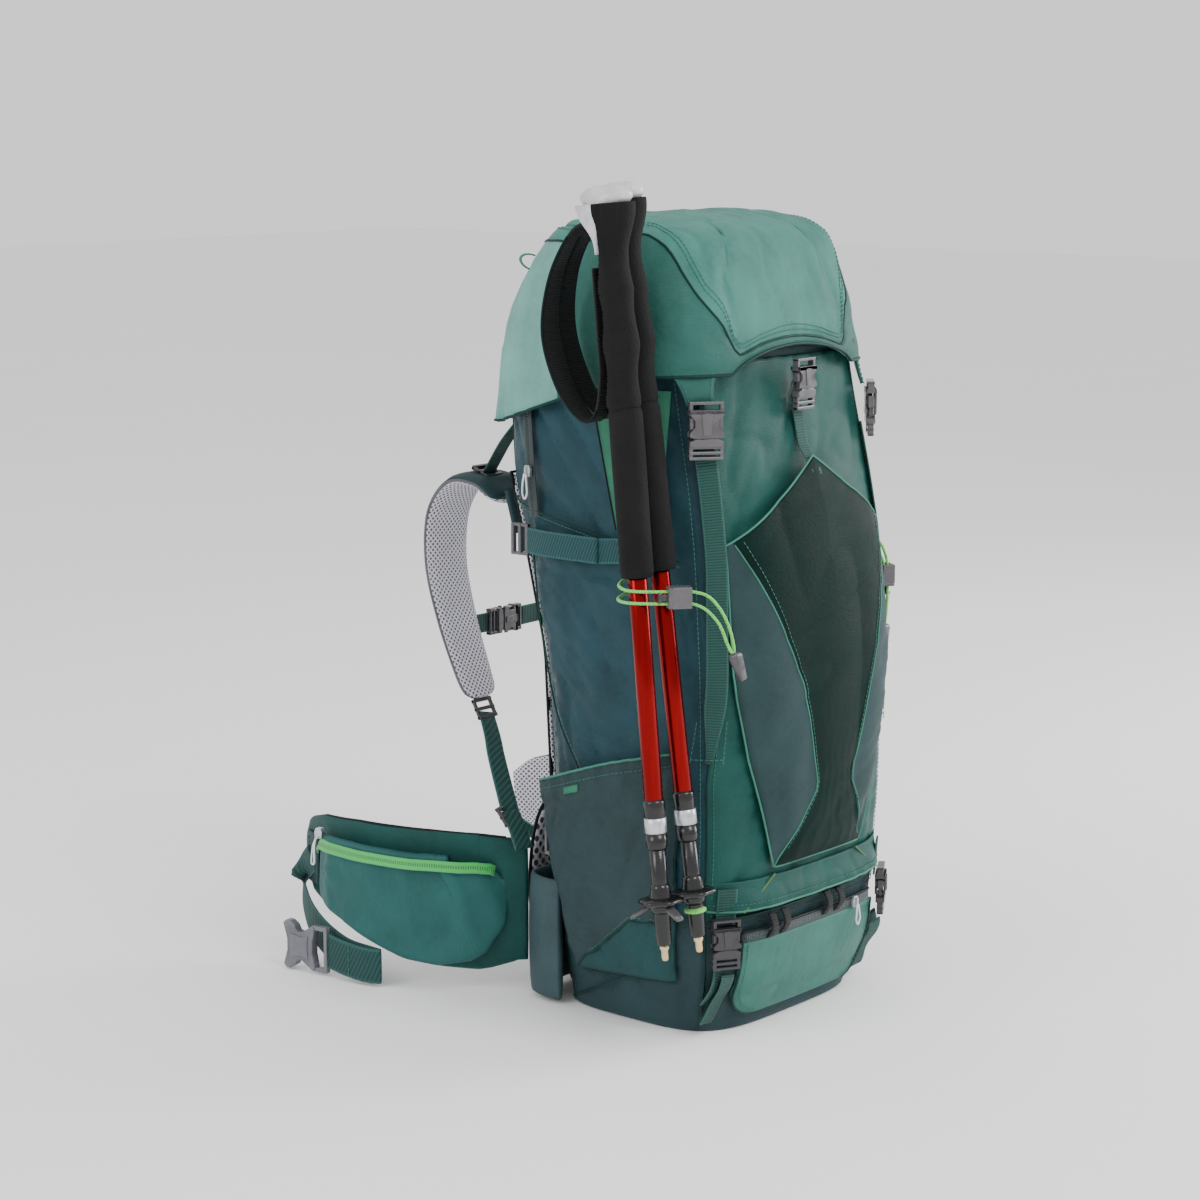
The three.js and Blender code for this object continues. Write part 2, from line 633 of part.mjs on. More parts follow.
function poleCords() {
  const route = (rows) => rows.map(([x, y, z]) => vec(x, y, z));
  add('pole_cord_left', rod(route(CORD_LEFT), 1.5, 80), ELASTIC);
  add('pole_cord_right', rod(route(CORD_RIGHT), 1.5, 56), ELASTIC);
  cordPull('cord_pull_left', vec(-149, -136.5, 378), vec(-144, -141, 357));
  cordPull('cord_pull_right', vec(174, -78.5, 352), vec(174, -78.5, 330));
  for (const name of Object.keys(SIDES)) {
    add(`cord_lock_${name}`, placeLockPart(box(13, 22, 20).subtract(box(6.4, 30, 16)), LOCKS[name]), BUCKLE_LIGHT);
    add(`cord_button_${name}`, placeLockPart(box(5, 14, 6, 0, -12, 0), LOCKS[name]), BUCKLE_DARK);
  }
}

// ---- Trekking poles ----
// The hand strap hangs off the back of the grip as a wide loop; its points are [y, z] in the pole's own axes.
const WRIST_LOOP = [
  [16.5, 683], [42, 674], [70, 636], [82, 584], [68, 532], [46, 504], [30, 508], [21, 540], [20, 580], [20, 640],
];
// Local axis Z runs up the pole from its tip, 0, to the top of its grip.
const POLE_LENGTH = 710;
const SHAFT_PROFILE = [
  [0, 0], [3, 1], [3.4, 14], [6, 18], [7, 48], [8, 52], [15, 56], [15, 60], [9, 64], [7.5, 72], [7.5, 114],
  [9.5, 118], [9.5, 150], [POLE_SHAFT_R, 152], [POLE_SHAFT_R, 358], [0, 358],
];
const GRIP_PROFILE = [
  [0, 358.4], [13.5, 358.4], [14, 363], [13.8, 510], [13, 548], [14.5, 568], [13, 592], [14.5, 620], [13, 650],
  [13.5, 686], [15, 700], [10, 708], [0, POLE_LENGTH],
];

const POLES = {
  near: { tip: vec(-197.2, -94.4, 93), top: vec(-205.6, -32.9, 800.2) },
  far: { tip: vec(-168.2, -111.9, 98), top: vec(-176, -21, 803) },
};

function pole(name, { tip, top }) {
  const holder = new THREE.Group();
  const along = top.clone().sub(tip).normalize();
  holder.position.copy(tip);
  holder.quaternion.setFromUnitVectors(vec(0, 0, 1), along);
  pack.add(holder);
  const turned = (profile) => {
    const points = profile.map(([r, z]) => new THREE.Vector2(r, z));
    const geometry = new THREE.LatheGeometry(points, 14);
    geometry.rotateX(Math.PI / 2);
    return geometry;
  };
  const part = (suffix, geometry, material) => {
    const mesh = new THREE.Mesh(geometry, material);
    mesh.name = `pole_${name}_${suffix}`;
    holder.add(mesh);
  };
  part('shaft', turned(SHAFT_PROFILE), ANODISED);
  part('grip', turned(GRIP_PROFILE), GRIP);
  part('strap', band(WRIST_LOOP.map(([y, z]) => ({
    at: vec(0, y, z), across: vec(1, 0, 0), width: 16, thick: 2.4,
  }))), GRIP);
}

bagShells();
snowCollar();
lidHood();
frontPocket();
for (const [name, side] of Object.entries(SIDES)) {
  sidePocket(name, side);
  lidStrap(name, side);
  compressionStrap(name, side);
}
backAndFrame();
frontStrap();
buckles();
harness();
haulLoop();
hipBelt();
poleCords();
pole('near', POLES.near);
pole('far', POLES.far);

export default pack;
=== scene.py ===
from math import atan2, cos, exp, pi, radians, sin, sqrt

import bpy
import numpy as np
from mathutils import Matrix, Vector, noise
from mathutils.bvhtree import BVHTree


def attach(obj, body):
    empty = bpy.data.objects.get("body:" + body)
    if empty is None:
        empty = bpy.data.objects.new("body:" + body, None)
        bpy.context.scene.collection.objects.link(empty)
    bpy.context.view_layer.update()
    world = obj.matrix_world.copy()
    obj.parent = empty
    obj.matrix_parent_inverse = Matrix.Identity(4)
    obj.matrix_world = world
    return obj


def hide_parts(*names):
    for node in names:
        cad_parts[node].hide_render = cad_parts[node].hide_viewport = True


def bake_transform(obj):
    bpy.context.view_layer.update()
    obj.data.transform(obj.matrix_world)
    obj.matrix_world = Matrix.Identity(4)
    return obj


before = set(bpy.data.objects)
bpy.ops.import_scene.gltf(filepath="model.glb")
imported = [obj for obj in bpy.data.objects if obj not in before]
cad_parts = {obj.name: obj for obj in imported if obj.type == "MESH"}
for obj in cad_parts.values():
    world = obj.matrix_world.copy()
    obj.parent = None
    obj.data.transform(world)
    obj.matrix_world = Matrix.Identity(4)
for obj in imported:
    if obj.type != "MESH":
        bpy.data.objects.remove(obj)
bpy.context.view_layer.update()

# A trekking backpack with two stowed poles. Shapes are worked out in millimetres and made in metres.
MM = 0.001
SIDES = {"left": -1, "right": 1}

# Outer sections of the bag: height, front, back and half width. Half way up, the cloth is up to 11 mm
# fuller than the CAD.
SECTIONS = np.array([
    (0, -94, 107, 128), (14, -100, 110, 132), (60, -116, 116, 145), (118, -120, 120, 150),
    (200, -125, 120, 153), (345, -126, 128, 157), (460, -117, 156, 156), (520, -107, 174, 153),
    (600, -90, 180, 148), (650, -81, 178, 146),
], float)
SQUARE = 4  # exponent of the rounded rectangular sections
SPLIT_Z = 118
RIM_Z = 640
# The hip fins' arc: its centre, radius, and the angles of its root and tip in degrees.
FIN_X, FIN_Y, FIN_R, FIN_ROOT, FIN_TIP = 11, 298, 204, 226, 147
BELT_R = FIN_R + 10
POLES = {
    "near": (Vector((-197.2, -94.4, 93)), Vector((-205.6, -32.9, 800.2))),
    "far": (Vector((-168.2, -111.9, 98)), Vector((-176, -21, 803))),
}
# The hand strap's loop behind each grip, as y and z in the pole's own axes.
WRIST_LOOP = [
    (16.5, 683), (42, 674), (70, 636), (82, 584), (68, 532),
    (46, 504), (30, 508), (21, 540), (20, 580), (20, 640),
]


# ---- Camera ----
def make_camera():
    """From the front left, a little above the middle of the bag."""
    aim = Vector((-0.074, 0.088, 0.395))
    turn, rise, distance = radians(-50), radians(10), 2.8
    data = bpy.data.cameras.new("camera")
    data.lens = 36 * distance / 1.176
    data.sensor_width = 36
    camera = bpy.data.objects.new("camera", data)
    bpy.context.scene.collection.objects.link(camera)
    away = Vector((sin(turn) * cos(rise), -cos(turn) * cos(rise), sin(rise)))
    camera.location = aim + away * distance
    camera.rotation_euler = (-away).to_track_quat("-Z", "Y").to_euler()
    bpy.context.scene.camera = camera


# ---- Materials ----
class Nodes:
    """Builds one material's node tree."""

    def __init__(self, name, roughness, metallic=0.0, sheen=0.0, gloss=0.5):
        self.material = bpy.data.materials.new(name)
        self.material.use_nodes = True
        self.tree = self.material.node_tree
        self.shader = self.tree.nodes["Principled BSDF"]
        self.shader.inputs["Roughness"].default_value = roughness
        self.shader.inputs["Metallic"].default_value = metallic
        self.shader.inputs["Sheen Weight"].default_value = sheen
        self.shader.inputs["Specular IOR Level"].default_value = gloss

    def add(self, kind, inputs, **settings):
        node = self.tree.nodes.new(kind)
        for key, value in settings.items():
            setattr(node, key, value)
        for key, value in inputs.items():
            self.feed(node.inputs[key], value)
        return node

    def feed(self, socket, value):
        if isinstance(value, bpy.types.NodeSocket):
            self.tree.links.new(value, socket)
        else:
            socket.default_value = value

    def math(self, operation, a, b=0.0, c=0.0):
        return self.add("ShaderNodeMath", {0: a, 1: b, 2: c}, operation=operation).outputs[0]

    def mix(self, factor, a, b):
        return self.add("ShaderNodeMix", {0: factor, 6: a, 7: b}, data_type="RGBA").outputs[2]

    def noise(self, vector, size, detail=3.0):
        inputs = {"Vector": vector, "Scale": 1 / size, "Detail": detail}
        return self.add("ShaderNodeTexNoise", inputs).outputs["Fac"]

    def wave(self, vector, pitch, direction="X", distortion=0.0):
        inputs = {"Vector": vector, "Scale": 2 * pi / (20 * pitch), "Distortion": distortion}
        return self.add("ShaderNodeTexWave", inputs, bands_direction=direction).outputs["Fac"]

    def weave_coords(self):
        return self.add("ShaderNodeAttribute", {}, attribute_name="weave").outputs["Vector"]

    def object_coords(self):
        return self.add("ShaderNodeTexCoord", {}).outputs["Object"]

    def turned(self, vector, degrees, axis="Z"):
        inputs = {"Vector": vector, "Rotation": [radians(degrees) * (a == axis) for a in "XYZ"]}
        return self.add("ShaderNodeMapping", inputs).outputs[0]

    def split(self, vector):
        return self.add("ShaderNodeSeparateXYZ", {0: vector}).outputs

    def step(self, value, low, high):
        inputs = {"Value": value, "From Min": low, "From Max": high}
        return self.add("ShaderNodeMapRange", inputs).outputs[0]

    def done(self, colour, height=None, depth=0.0003, strength=1.0, roughness=None):
        self.feed(self.shader.inputs["Base Color"], colour)
        if roughness is not None:
            self.feed(self.shader.inputs["Roughness"], roughness)
        if height is not None:
            bump = self.add("ShaderNodeBump", {"Height": height, "Distance": depth, "Strength": strength})
            self.feed(self.shader.inputs["Normal"], bump.outputs[0])
        return self.material


def rgb(red, green, blue):
    """A colour on the usual 0 to 255 scale, as the linear values that Blender uses."""
    parts = [c / 255 for c in (red, green, blue)]
    return [p / 12.92 if p <= 0.04045 else ((p + 0.055) / 1.055) ** 2.4 for p in parts] + [1]


def shade(colour, factor):
    """The colour made darker or lighter."""
    return [min(c * factor, 1) for c in colour[:3]] + [1]


def cloth(name, colour, pitch=0.0013, contrast=0.2, roughness=0.55, sheen=0.0, gloss=0.14):
    """Plain woven nylon: crossing threads, a mottled tone, faint dust and a matt to silky finish."""
    n = Nodes(name, roughness, sheen=sheen, gloss=gloss)
    here = n.weave_coords()
    across = n.wave(here, pitch, "X")
    along = n.wave(here, pitch, "Y")
    threads = n.math("MULTIPLY", across, along)
    tone = n.noise(n.object_coords(), 0.05, 6)
    fade = n.noise(n.object_coords(), 0.006, 3)
    base = n.mix(n.step(tone, 0.3, 0.7), shade(colour, 1 - contrast), shade(colour, 1 + contrast))
    base = n.mix(n.math("MULTIPLY", n.step(fade, 0.35, 0.75), 0.3), base, shade(colour, 1.3))
    base = n.mix(n.math("MULTIPLY", threads, 0.3), base, shade(colour, 0.55))
    rough = n.step(tone, -0.5, 2.0)
    height = n.math("ADD", threads, n.math("MULTIPLY", n.noise(n.object_coords(), 0.004, 4), 1.2))
    return n.done(base, height, 0.00035, 0.7, n.math("ADD", rough, roughness - 0.45))


def webbing(name, colour, edge, pitch=0.0032, slant=24):
    """Woven webbing: slanted ribs across the band, with a lighter selvedge along both edges."""
    n = Nodes(name, 0.7, sheen=0.05, gloss=0.3)
    here = n.weave_coords()
    ribs = n.wave(n.turned(here, slant), pitch, "Y")
    fine = n.wave(here, pitch * 0.4, "X")
    rim = n.step(n.math("ABSOLUTE", n.split(here)[2]), 0.8, 0.9)
    base = n.mix(ribs, shade(colour, 0.6), shade(colour, 1.3))
    base = n.mix(n.math("MULTIPLY", rim, 0.8), base, edge)
    base = n.mix(n.math("MULTIPLY", n.noise(here, 0.01), 0.3), base, shade(colour, 0.7))
    return n.done(base, n.math("ADD", ribs, n.math("MULTIPLY", fine, 0.4)), 0.0005)


def dotted_mesh(name, colour, hole, pitch=0.0042, open_share=0.3):
    """Spacer mesh: rows of small dark holes in a soft knitted face."""
    n = Nodes(name, 0.85, sheen=0.1, gloss=0.3)
    here = n.turned(n.weave_coords(), 45)
    cells = n.add("ShaderNodeTexVoronoi", {"Vector": here, "Scale": 1 / pitch, "Randomness": 0.0},
                  voronoi_dimensions="2D")
    distance = cells.outputs["Distance"]
    solid = n.step(distance, open_share - 0.07, open_share + 0.05)
    knit = n.wave(n.weave_coords(), pitch / 4, "X", 2.0)
    base = n.mix(solid, hole, n.mix(n.math("MULTIPLY", knit, 0.35), colour, shade(colour, 0.72)))
    base = n.mix(n.math("MULTIPLY", n.noise(n.object_coords(), 0.03), 0.25), base, shade(colour, 0.6))
    return n.done(base, n.math("ADD", solid, n.math("MULTIPLY", knit, 0.2)), 0.0009)


def plastic(name, colour, roughness=0.42):
    """Moulded acetal: a fine spark-eroded grain, softly scuffed, paler along worn edges."""
    n = Nodes(name, roughness)
    here = n.object_coords()
    worn = n.step(n.add("ShaderNodeNewGeometry", {}).outputs["Pointiness"], 0.51, 0.58)
    grain = n.noise(here, 0.0009, 2)
    scuff = n.noise(here, 0.012, 6)
    base = n.mix(n.step(scuff, 0.35, 0.75), shade(colour, 0.82), shade(colour, 1.12))
    base = n.mix(n.math("MULTIPLY", worn, 0.5), base, shade(colour, 1.7))
    return n.done(base, grain, 0.0001, 0.6, n.step(scuff, 0.1, 1.9))


def metal(name, colour, roughness, scratch=0.004, along="Z"):
    """Bare or anodised metal with fine drawn scratches and uneven polish."""
    n = Nodes(name, roughness, metallic=0.85)
    here = n.object_coords()
    stretch = [1, 1, 0.06] if along == "Z" else [0.06, 1, 1]
    lines = n.noise(n.add("ShaderNodeMapping", {"Vector": here, "Scale": stretch}).outputs[0], scratch, 6)
    base = n.mix(n.step(lines, 0.3, 0.7), shade(colour, 0.85), shade(colour, 1.15))
    return n.done(base, lines, 0.00008, 0.5, n.step(lines, 0.5 - 3 * roughness, 2.5 - 2 * roughness))


def foam(name, colour, size=0.0016):
    """Closed-cell foam: pitted, dull and slightly dusty."""
    n = Nodes(name, 0.88, gloss=0.25)
    here = n.object_coords()
    pits = n.add("ShaderNodeTexVoronoi", {"Vector": here, "Scale": 1 / size}).outputs["Distance"]
    dust = n.noise(here, 0.03, 5)
    base = n.mix(n.step(dust, 0.4, 0.8), colour, shade(colour, 1.9))
    base = n.mix(n.step(pits, 0.0, 0.35), shade(colour, 0.4), base)
    return n.done(base, pits, 0.0004, 0.8)


def braid(name, colour, fleck):
    """Braided elastic cord: slanted strands with a darker fleck."""
    n = Nodes(name, 0.6, sheen=0.3)
    here = n.object_coords()
    strands = n.wave(n.turned(here, 35, "X"), 0.0016, "Z", 1.5)
    spots = n.step(n.noise(here, 0.0022, 2), 0.55, 0.62)
    base = n.mix(strands, shade(colour, 0.7), shade(colour, 1.1))
    base = n.mix(n.math("MULTIPLY", spots, 0.5), base, fleck)
    return n.done(base, strands, 0.0003)


def zip_teeth(name, colour):
    """Zip tape with its coil: a tooth pattern across the middle of the band."""
    n = Nodes(name, 0.55, sheen=0.2)
    here = n.weave_coords()
    teeth = n.wave(here, 0.0024, "Y")
    middle = n.step(n.math("ABSOLUTE", n.split(here)[2]), 0.32, 0.24)
    height = n.math("MULTIPLY", teeth, middle)
    tape = n.mix(n.wave(here, 0.0011, "X"), shade(colour, 0.8), shade(colour, 1.1))
    base = n.mix(middle, tape, n.mix(teeth, shade(colour, 0.35), shade(colour, 1.25)))
    return n.done(base, height, 0.0008)


def floor_paint():
    """The studio's near white floor."""
    n = Nodes("studio_floor", 0.9)
    tone = n.noise(n.object_coords(), 0.8, 2)
    return n.done(n.mix(tone, rgb(246, 246, 245), rgb(250, 250, 250)))


M = {
    "lid": cloth("lid_cloth", rgb(68, 124, 114), roughness=0.5, gloss=0.1),
    # Darker, shaded copy of the lid cloth for the lid's side panel and the buckle tabs: painted shade.
    "gusset": cloth("lid_painted_shade_cloth", rgb(46, 94, 86)),
    # Lighter, lit copy of the lid cloth for the back of the lid's side panel: painted light.
    "lid_back_painted_light": cloth("lid_back_painted_light_cloth", rgb(104, 156, 148), pitch=0.0016),
    "body": cloth("body_cloth", rgb(26, 74, 68), roughness=0.46),
    "pocket": cloth("pocket_cloth", rgb(7, 32, 28), roughness=0.5, contrast=0.25, gloss=0.06),
    "slate": cloth("slate_cloth", rgb(46, 66, 68), gloss=0.08),
    "side": cloth("side_cloth", rgb(30, 62, 71), contrast=0.28, gloss=0.16, roughness=0.45),
    "wing": cloth("wing_cloth", rgb(58, 78, 82)),
    "side_low": cloth("side_low_cloth", rgb(32, 66, 68)),
    "side_pocket": cloth("side_pocket_cloth", rgb(42, 60, 63)),
    "dark": cloth("dark_cloth", rgb(40, 62, 66)),
    "panel": cloth("panel_cloth", rgb(58, 108, 98), roughness=0.46),
    # Pale green trim for the lid loops and the labels; on the strips beside the poles the same colour is
    # painted light, body cloth shown lighter as if brightly lit.
    "trim_green": cloth("pale_green_trim_and_lit_body_cloth", rgb(52, 112, 88)),
    "belt": cloth("belt_cloth", rgb(28, 72, 68)),
    "hip_pocket": cloth("hip_pocket_cloth", rgb(40, 88, 86), roughness=0.46),
    "binding": cloth("binding_cloth", rgb(12, 22, 24), pitch=0.0009),
    "welt": cloth("welt_cloth", rgb(18, 50, 46), pitch=0.0009),
    "edge": cloth("seam_edge_cloth", rgb(60, 116, 100), pitch=0.0009),
    "thread": cloth("sewing_thread", rgb(62, 108, 96), pitch=0.0006),
    "dark_thread": cloth("dark_thread", rgb(22, 44, 44), pitch=0.0006),
    "yellow": cloth("yellow_seam_cloth", rgb(84, 110, 64), pitch=0.0008),
    "spacer": dotted_mesh("spacer_mesh", rgb(232, 230, 240), rgb(64, 64, 74)),
    "honeycomb": dotted_mesh("honeycomb_mesh", rgb(210, 210, 216), rgb(14, 16, 18), 0.0088, 0.36),
    "strap": webbing("strap_webbing", rgb(28, 72, 66), rgb(50, 98, 90), 0.0026, 0),
    "belt_strap": webbing("belt_webbing_weave", rgb(26, 68, 66), rgb(44, 92, 88), 0.004),
    "lower_strap": webbing("lower_webbing_weave", rgb(34, 76, 72), rgb(56, 100, 94), 0.005, 40),
    "black_strap": webbing("black_webbing", rgb(14, 15, 17), rgb(26, 28, 30), 0.0026, 0),
    "side_strap": webbing("compression_webbing", rgb(24, 70, 74), rgb(44, 96, 98)),
    "grey": plastic("grey_plastic", rgb(76, 74, 77)),
    "belt_plastic": plastic("belt_buckle_plastic", rgb(96, 97, 104)),
    "dark_plastic": plastic("dark_plastic", rgb(46, 45, 49)),
    "black_plastic": plastic("black_plastic", rgb(16, 16, 18)),
    "cap": plastic("pole_cap_plastic", rgb(196, 197, 200), 0.35),
    "zinc": metal("zinc_metal", rgb(196, 198, 202), 0.3),
    "red": metal("red_anodised", rgb(124, 4, 8), 0.14),
    "brass": metal("brass_tip", rgb(216, 196, 150), 0.35),
    "frame_metal": metal("frame_metal", rgb(170, 172, 176), 0.35),
    "carbon": plastic("black_shaft", rgb(18, 18, 21), 0.3),
    "foam": foam("grip_foam", rgb(14, 14, 15)),
    "rubber": foam("grip_rubber", rgb(12, 12, 13), 0.0028),
    "elastic": braid("green_elastic", rgb(112, 216, 84), rgb(50, 110, 50)),
    "zip": zip_teeth("green_zip", rgb(50, 172, 78)),
    "dark_zip": zip_teeth("dark_zip", rgb(18, 40, 42)),
}


# ---- The bag's surface ----
def section(z):
    """Front, back and half width of the bag at height z, with the corners between the sections eased."""
    near = (z - 12, z, z + 12)
    return [sum(np.interp(h, SECTIONS[:, 0], SECTIONS[:, k]) for h in near) / 3 for k in (1, 2, 3)]


def outward(point):
    """The direction straight out of the bag at a point on its upright faces."""
    front, back, half = section(point[2])
    depth = (back - front) / 2
    u = point[0] / half
    v = (point[1] - (front + back) / 2) / depth
    return Vector((u * abs(u) ** (SQUARE - 2) / half, v * abs(v) ** (SQUARE - 2) / depth, 0)).normalized()


def lifted(point, lift):
    """A point of the bag's surface moved straight out by lift."""
    return point + outward(point) * lift


def other(share):
    return max(1 - abs(share) ** SQUARE, 0) ** (1 / SQUARE)


def on_front(x, z, lift=0.0, face=-1):
    """A point on the front of the bag, or on its back when face is 1."""
    front, back, half = section(z)
    y = (front + back) / 2 + face * (back - front) / 2 * other(min(abs(x) / half, 1))
    return lifted(Vector((x, y, z)), lift)


def on_side(side, y, z, lift=0.0):
    """A point on the left side of the bag when side is -1, or on the right when it is 1."""
    front, back, half = section(z)
    away = min(abs(y - (front + back) / 2) / ((back - front) / 2), 1)
    return lifted(Vector((side * half * other(away), y, z)), lift)


def on_ring(z, turn, lift=0.0):
    """A point at an angle round the bag's upright axis, where -90 degrees is the front."""
    front, back, half = section(z)
    depth = (back - front) / 2
    c = cos(turn)
    s = sin(turn)
    reach = (abs(c / half) ** SQUARE + abs(s / depth) ** SQUARE) ** (-1 / SQUARE)
    return lifted(Vector((reach * c, (front + back) / 2 + reach * s, z)), lift)


def strap_x(z):
    """How far from the middle a lid strap runs at height z."""
    return 138 - (z - 270) / 283 * 14


def seam_x(z):
    """Half width of the front panel, whose seams follow the lid straps."""
    return min(strap_x(z), 0.9 * section(z)[2])


# ---- Folds ----
def fold(point, along, size, stretch=4.0, seed=0.0):
    """How far cloth has sunk at a point, 0 to 1, in creases about size wide that run along a direction."""
    q = Vector(point) / size
    direction = Vector(along).normalized()
    q -= direction * q.dot(direction) * (1 - 1 / stretch)
    q += Vector((seed, 2 * seed, 0))
    crease = max(1 - 2.4 * abs(noise.noise(q)), 0) ** 2
    swell = 0.5 + 0.5 * noise.noise(q * 0.45)
    return 0.55 * crease + 0.45 * swell


def ease(value, low, high):
    """0 below low, 1 above high, and a smooth rise between."""
    t = min(max((value - low) / (high - low), 0), 1)
    return t * t * (3 - 2 * t)


# ---- Meshes ----
def make_piece(name, verts, faces, body, materials, slot, weave=None, picks=None, sharp=False):
    """An object with its materials, riding a body. weave gives each point its place in the cloth."""
    mesh = bpy.data.meshes.new(name)
    mesh.from_pydata([Vector(v) * MM for v in verts], [], faces)
    for key in [materials] if isinstance(materials, str) else materials:
        mesh.materials.append(M[key])
    if picks is not None:
        mesh.polygons.foreach_set("material_index", picks)
    if weave is None:
        weave = [(v[0] + v[1], v[2], 0) for v in verts]
    attribute = mesh.attributes.new("weave", "FLOAT_VECTOR", "POINT")
    scaled = np.array(weave, np.float32) * np.array([MM, MM, 1])
    attribute.data.foreach_set("vector", scaled.astype(np.float32).ravel())
    if not sharp:
        mesh.shade_smooth()
    mesh.update()
    piece = bpy.data.objects.new(name, mesh)
    bpy.context.scene.collection.objects.link(piece)
    if body:
        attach(piece, body)
    return piece


def directions_out(grid, wrap):
    """The normals of a grid of points, turned away from its middle."""
    padded = np.concatenate([grid[:, -1:], grid, grid[:, :1]], axis=1) if wrap else grid
    across = np.gradient(padded, axis=1)
    normals = np.cross(across, np.gradient(padded, axis=0))
    normals = normals[:, 1:-1] if wrap else normals
    normals = normals / np.maximum(np.linalg.norm(normals, axis=2, keepdims=True), 1e-9)
    return normals


def pushed(grid, amount, wrap=False, away_from=(0, 30, 350)):
    """The grid with each point moved out of the object by amount(row, column, point)."""
    grid = np.array(grid, float)
    normals = directions_out(grid, wrap)
    if np.sum(normals * (grid - np.array(away_from))) < 0:
        normals = -normals
    count_rows, count_columns = grid.shape[:2]
    lift = [[amount(r, c, Vector(grid[r, c])) for c in range(count_columns)] for r in range(count_rows)]
    return grid + normals * np.array(lift)[:, :, None]


def quads(rows, columns, wrap, offset=0, flip=False):
    """The faces of a grid of points, joined round when wrap is true."""
    faces = []
    for r in range(rows - 1):
        for c in range(columns if wrap else columns - 1):
            n = (c + 1) % columns
            face = [r * columns + c, r * columns + n, (r + 1) * columns + n, (r + 1) * columns + c]
            faces.append([offset + i for i in (face[::-1] if flip else face)])
    return faces


def cloth_sheet(name, grid, body, materials, slot, thick=1.6, wrap=False, pick=None, outside=(0, 30, 350)):
    """A closed piece of cloth: a grid of outer points, the same grid sunk by its thickness, and its edges."""
    grid = np.array(grid, float)
    rows, columns = grid.shape[:2]
    normals = directions_out(grid, wrap)
    faces_out = np.sum(normals * (grid - np.array(outside))) > 0
    inner = grid - normals * (thick if faces_out else -thick)
    count = rows * columns
    front = quads(rows, columns, wrap, 0, not faces_out)
    faces = front + quads(rows, columns, wrap, count, faces_out)
    rims = [[r * columns + c for c in range(columns)] for r in (0, rows - 1)]
    sides = [] if wrap else [[r * columns + c for r in range(rows)] for c in (0, columns - 1)]
    for line in rims + sides:
        pairs = list(zip(line, line[1:])) + ([(line[-1], line[0])] if wrap else [])
        faces += [[a, b, b + count, a + count] for a, b in pairs]
    across = np.concatenate([np.zeros((rows, 1)), np.linalg.norm(np.diff(grid, axis=1), axis=2).cumsum(1)], 1)
    along = np.concatenate([np.zeros((1, columns)), np.linalg.norm(np.diff(grid, axis=0), axis=2).cumsum(0)])
    share = np.tile(np.linspace(-1, 1, columns), (rows, 1))
    weave = np.stack([across, along, share], axis=2).reshape(-1, 3)
    picks = None
    if pick:
        cells = [(r, c) for r in range(rows - 1) for c in range(columns if wrap else columns - 1)]
        picks = [pick(r, c) for r, c in cells] * 2 + [0] * (len(faces) - 2 * len(cells))
    verts = np.concatenate([grid.reshape(-1, 3), inner.reshape(-1, 3)])
    return make_piece(name, verts, faces, body, materials, slot, np.concatenate([weave, weave]), picks)


def unit(vector):
    return vector / max(vector.length, 1e-9)


def spline(points, count):
    """Points spread along a smooth curve through the given ones."""
    p = [Vector(q) for q in points]
    p = [2 * p[0] - p[1]] + p + [2 * p[-1] - p[-2]]
    spans = len(p) - 3
    made = []
    for i in range(count):
        s = min(i / (count - 1) * spans, spans - 1e-6)
        k = int(s)
        t = s - k
        a, b, c, d = p[k:k + 4]
        made.append(0.5 * (2 * b + (c - a) * t + (2 * a - 5 * b + 4 * c - d) * t * t
                           + (3 * b - a - 3 * c + d) * t ** 3))
    return made


def sweep(name, stations, body, materials, slot, power=6.0, points=24, relief=None, pick=None):
    """A closed band or pad through stations (centre, across, width, thickness), with a rounded section.

    relief(t, u, v) is how much further out the face stands, at t along, u across and v through the band.
    """
    verts = []
    weave = []
    run = 0.0
    for i, (at, across, width, thick) in enumerate(stations):
        before = stations[max(i - 1, 0)][0]
        after = stations[min(i + 1, len(stations) - 1)][0]
        along = unit(Vector(after) - Vector(before))
        across = Vector(across)
        across = unit(across - along * across.dot(along))
        out = across.cross(along)
        run += (Vector(at) - Vector(before)).length
        for k in range(points):
            angle = 2 * pi * (k + 0.5) / points
            c, s = cos(angle), sin(angle)
            reach = (abs(c) ** power + abs(s) ** power) ** (-1 / power)
            u, v = reach * c, reach * s
            extra = relief(i / (len(stations) - 1), u, v) if relief else 0.0
            verts.append(Vector(at) + across * (u * width / 2) + out * (v * (thick / 2 + extra)))
            weave.append((u * width / 2 + (1 - abs(v)) * thick / 2 * (1 if u > 0 else -1), run, u))
    count = len(stations)
    faces = quads(count, points, True)
    faces.append(list(range(points))[::-1])
    faces.append([(count - 1) * points + k for k in range(points)])
    picks = None
    if pick:
        picks = [pick(r, k) for r in range(count - 1) for k in range(points)] + [0, 0]
    piece = make_piece(name, verts, faces, body, materials, slot, weave, picks)
    return piece


def tube(name, points, radius, body, material, cyclic=False, parts=None):
    """Piping, cord or thread along a line of points; parts gives several separate lines."""
    curve = bpy.data.curves.new(name, "CURVE")
    curve.dimensions = "3D"
    curve.bevel_depth = radius * MM
    curve.bevel_resolution = 2
    curve.use_fill_caps = True
    for line in parts or [points]:
        spline_made = curve.splines.new("POLY")
        spline_made.points.add(len(line) - 1)
        for target, point in zip(spline_made.points, line):
            target.co = (*(Vector(point) * MM), 1)
        spline_made.use_cyclic_u = cyclic
    curve.materials.append(M[material])
    piece = bpy.data.objects.new(name, curve)
    bpy.context.scene.collection.objects.link(piece)
    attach(piece, body)
    return piece


def bag_seam(name, points, radius, key="welt", cyclic=False):
    """A welt, a binding or a raised seam on the bag."""
    return tube(name, points, radius, "bag", key, cyclic)


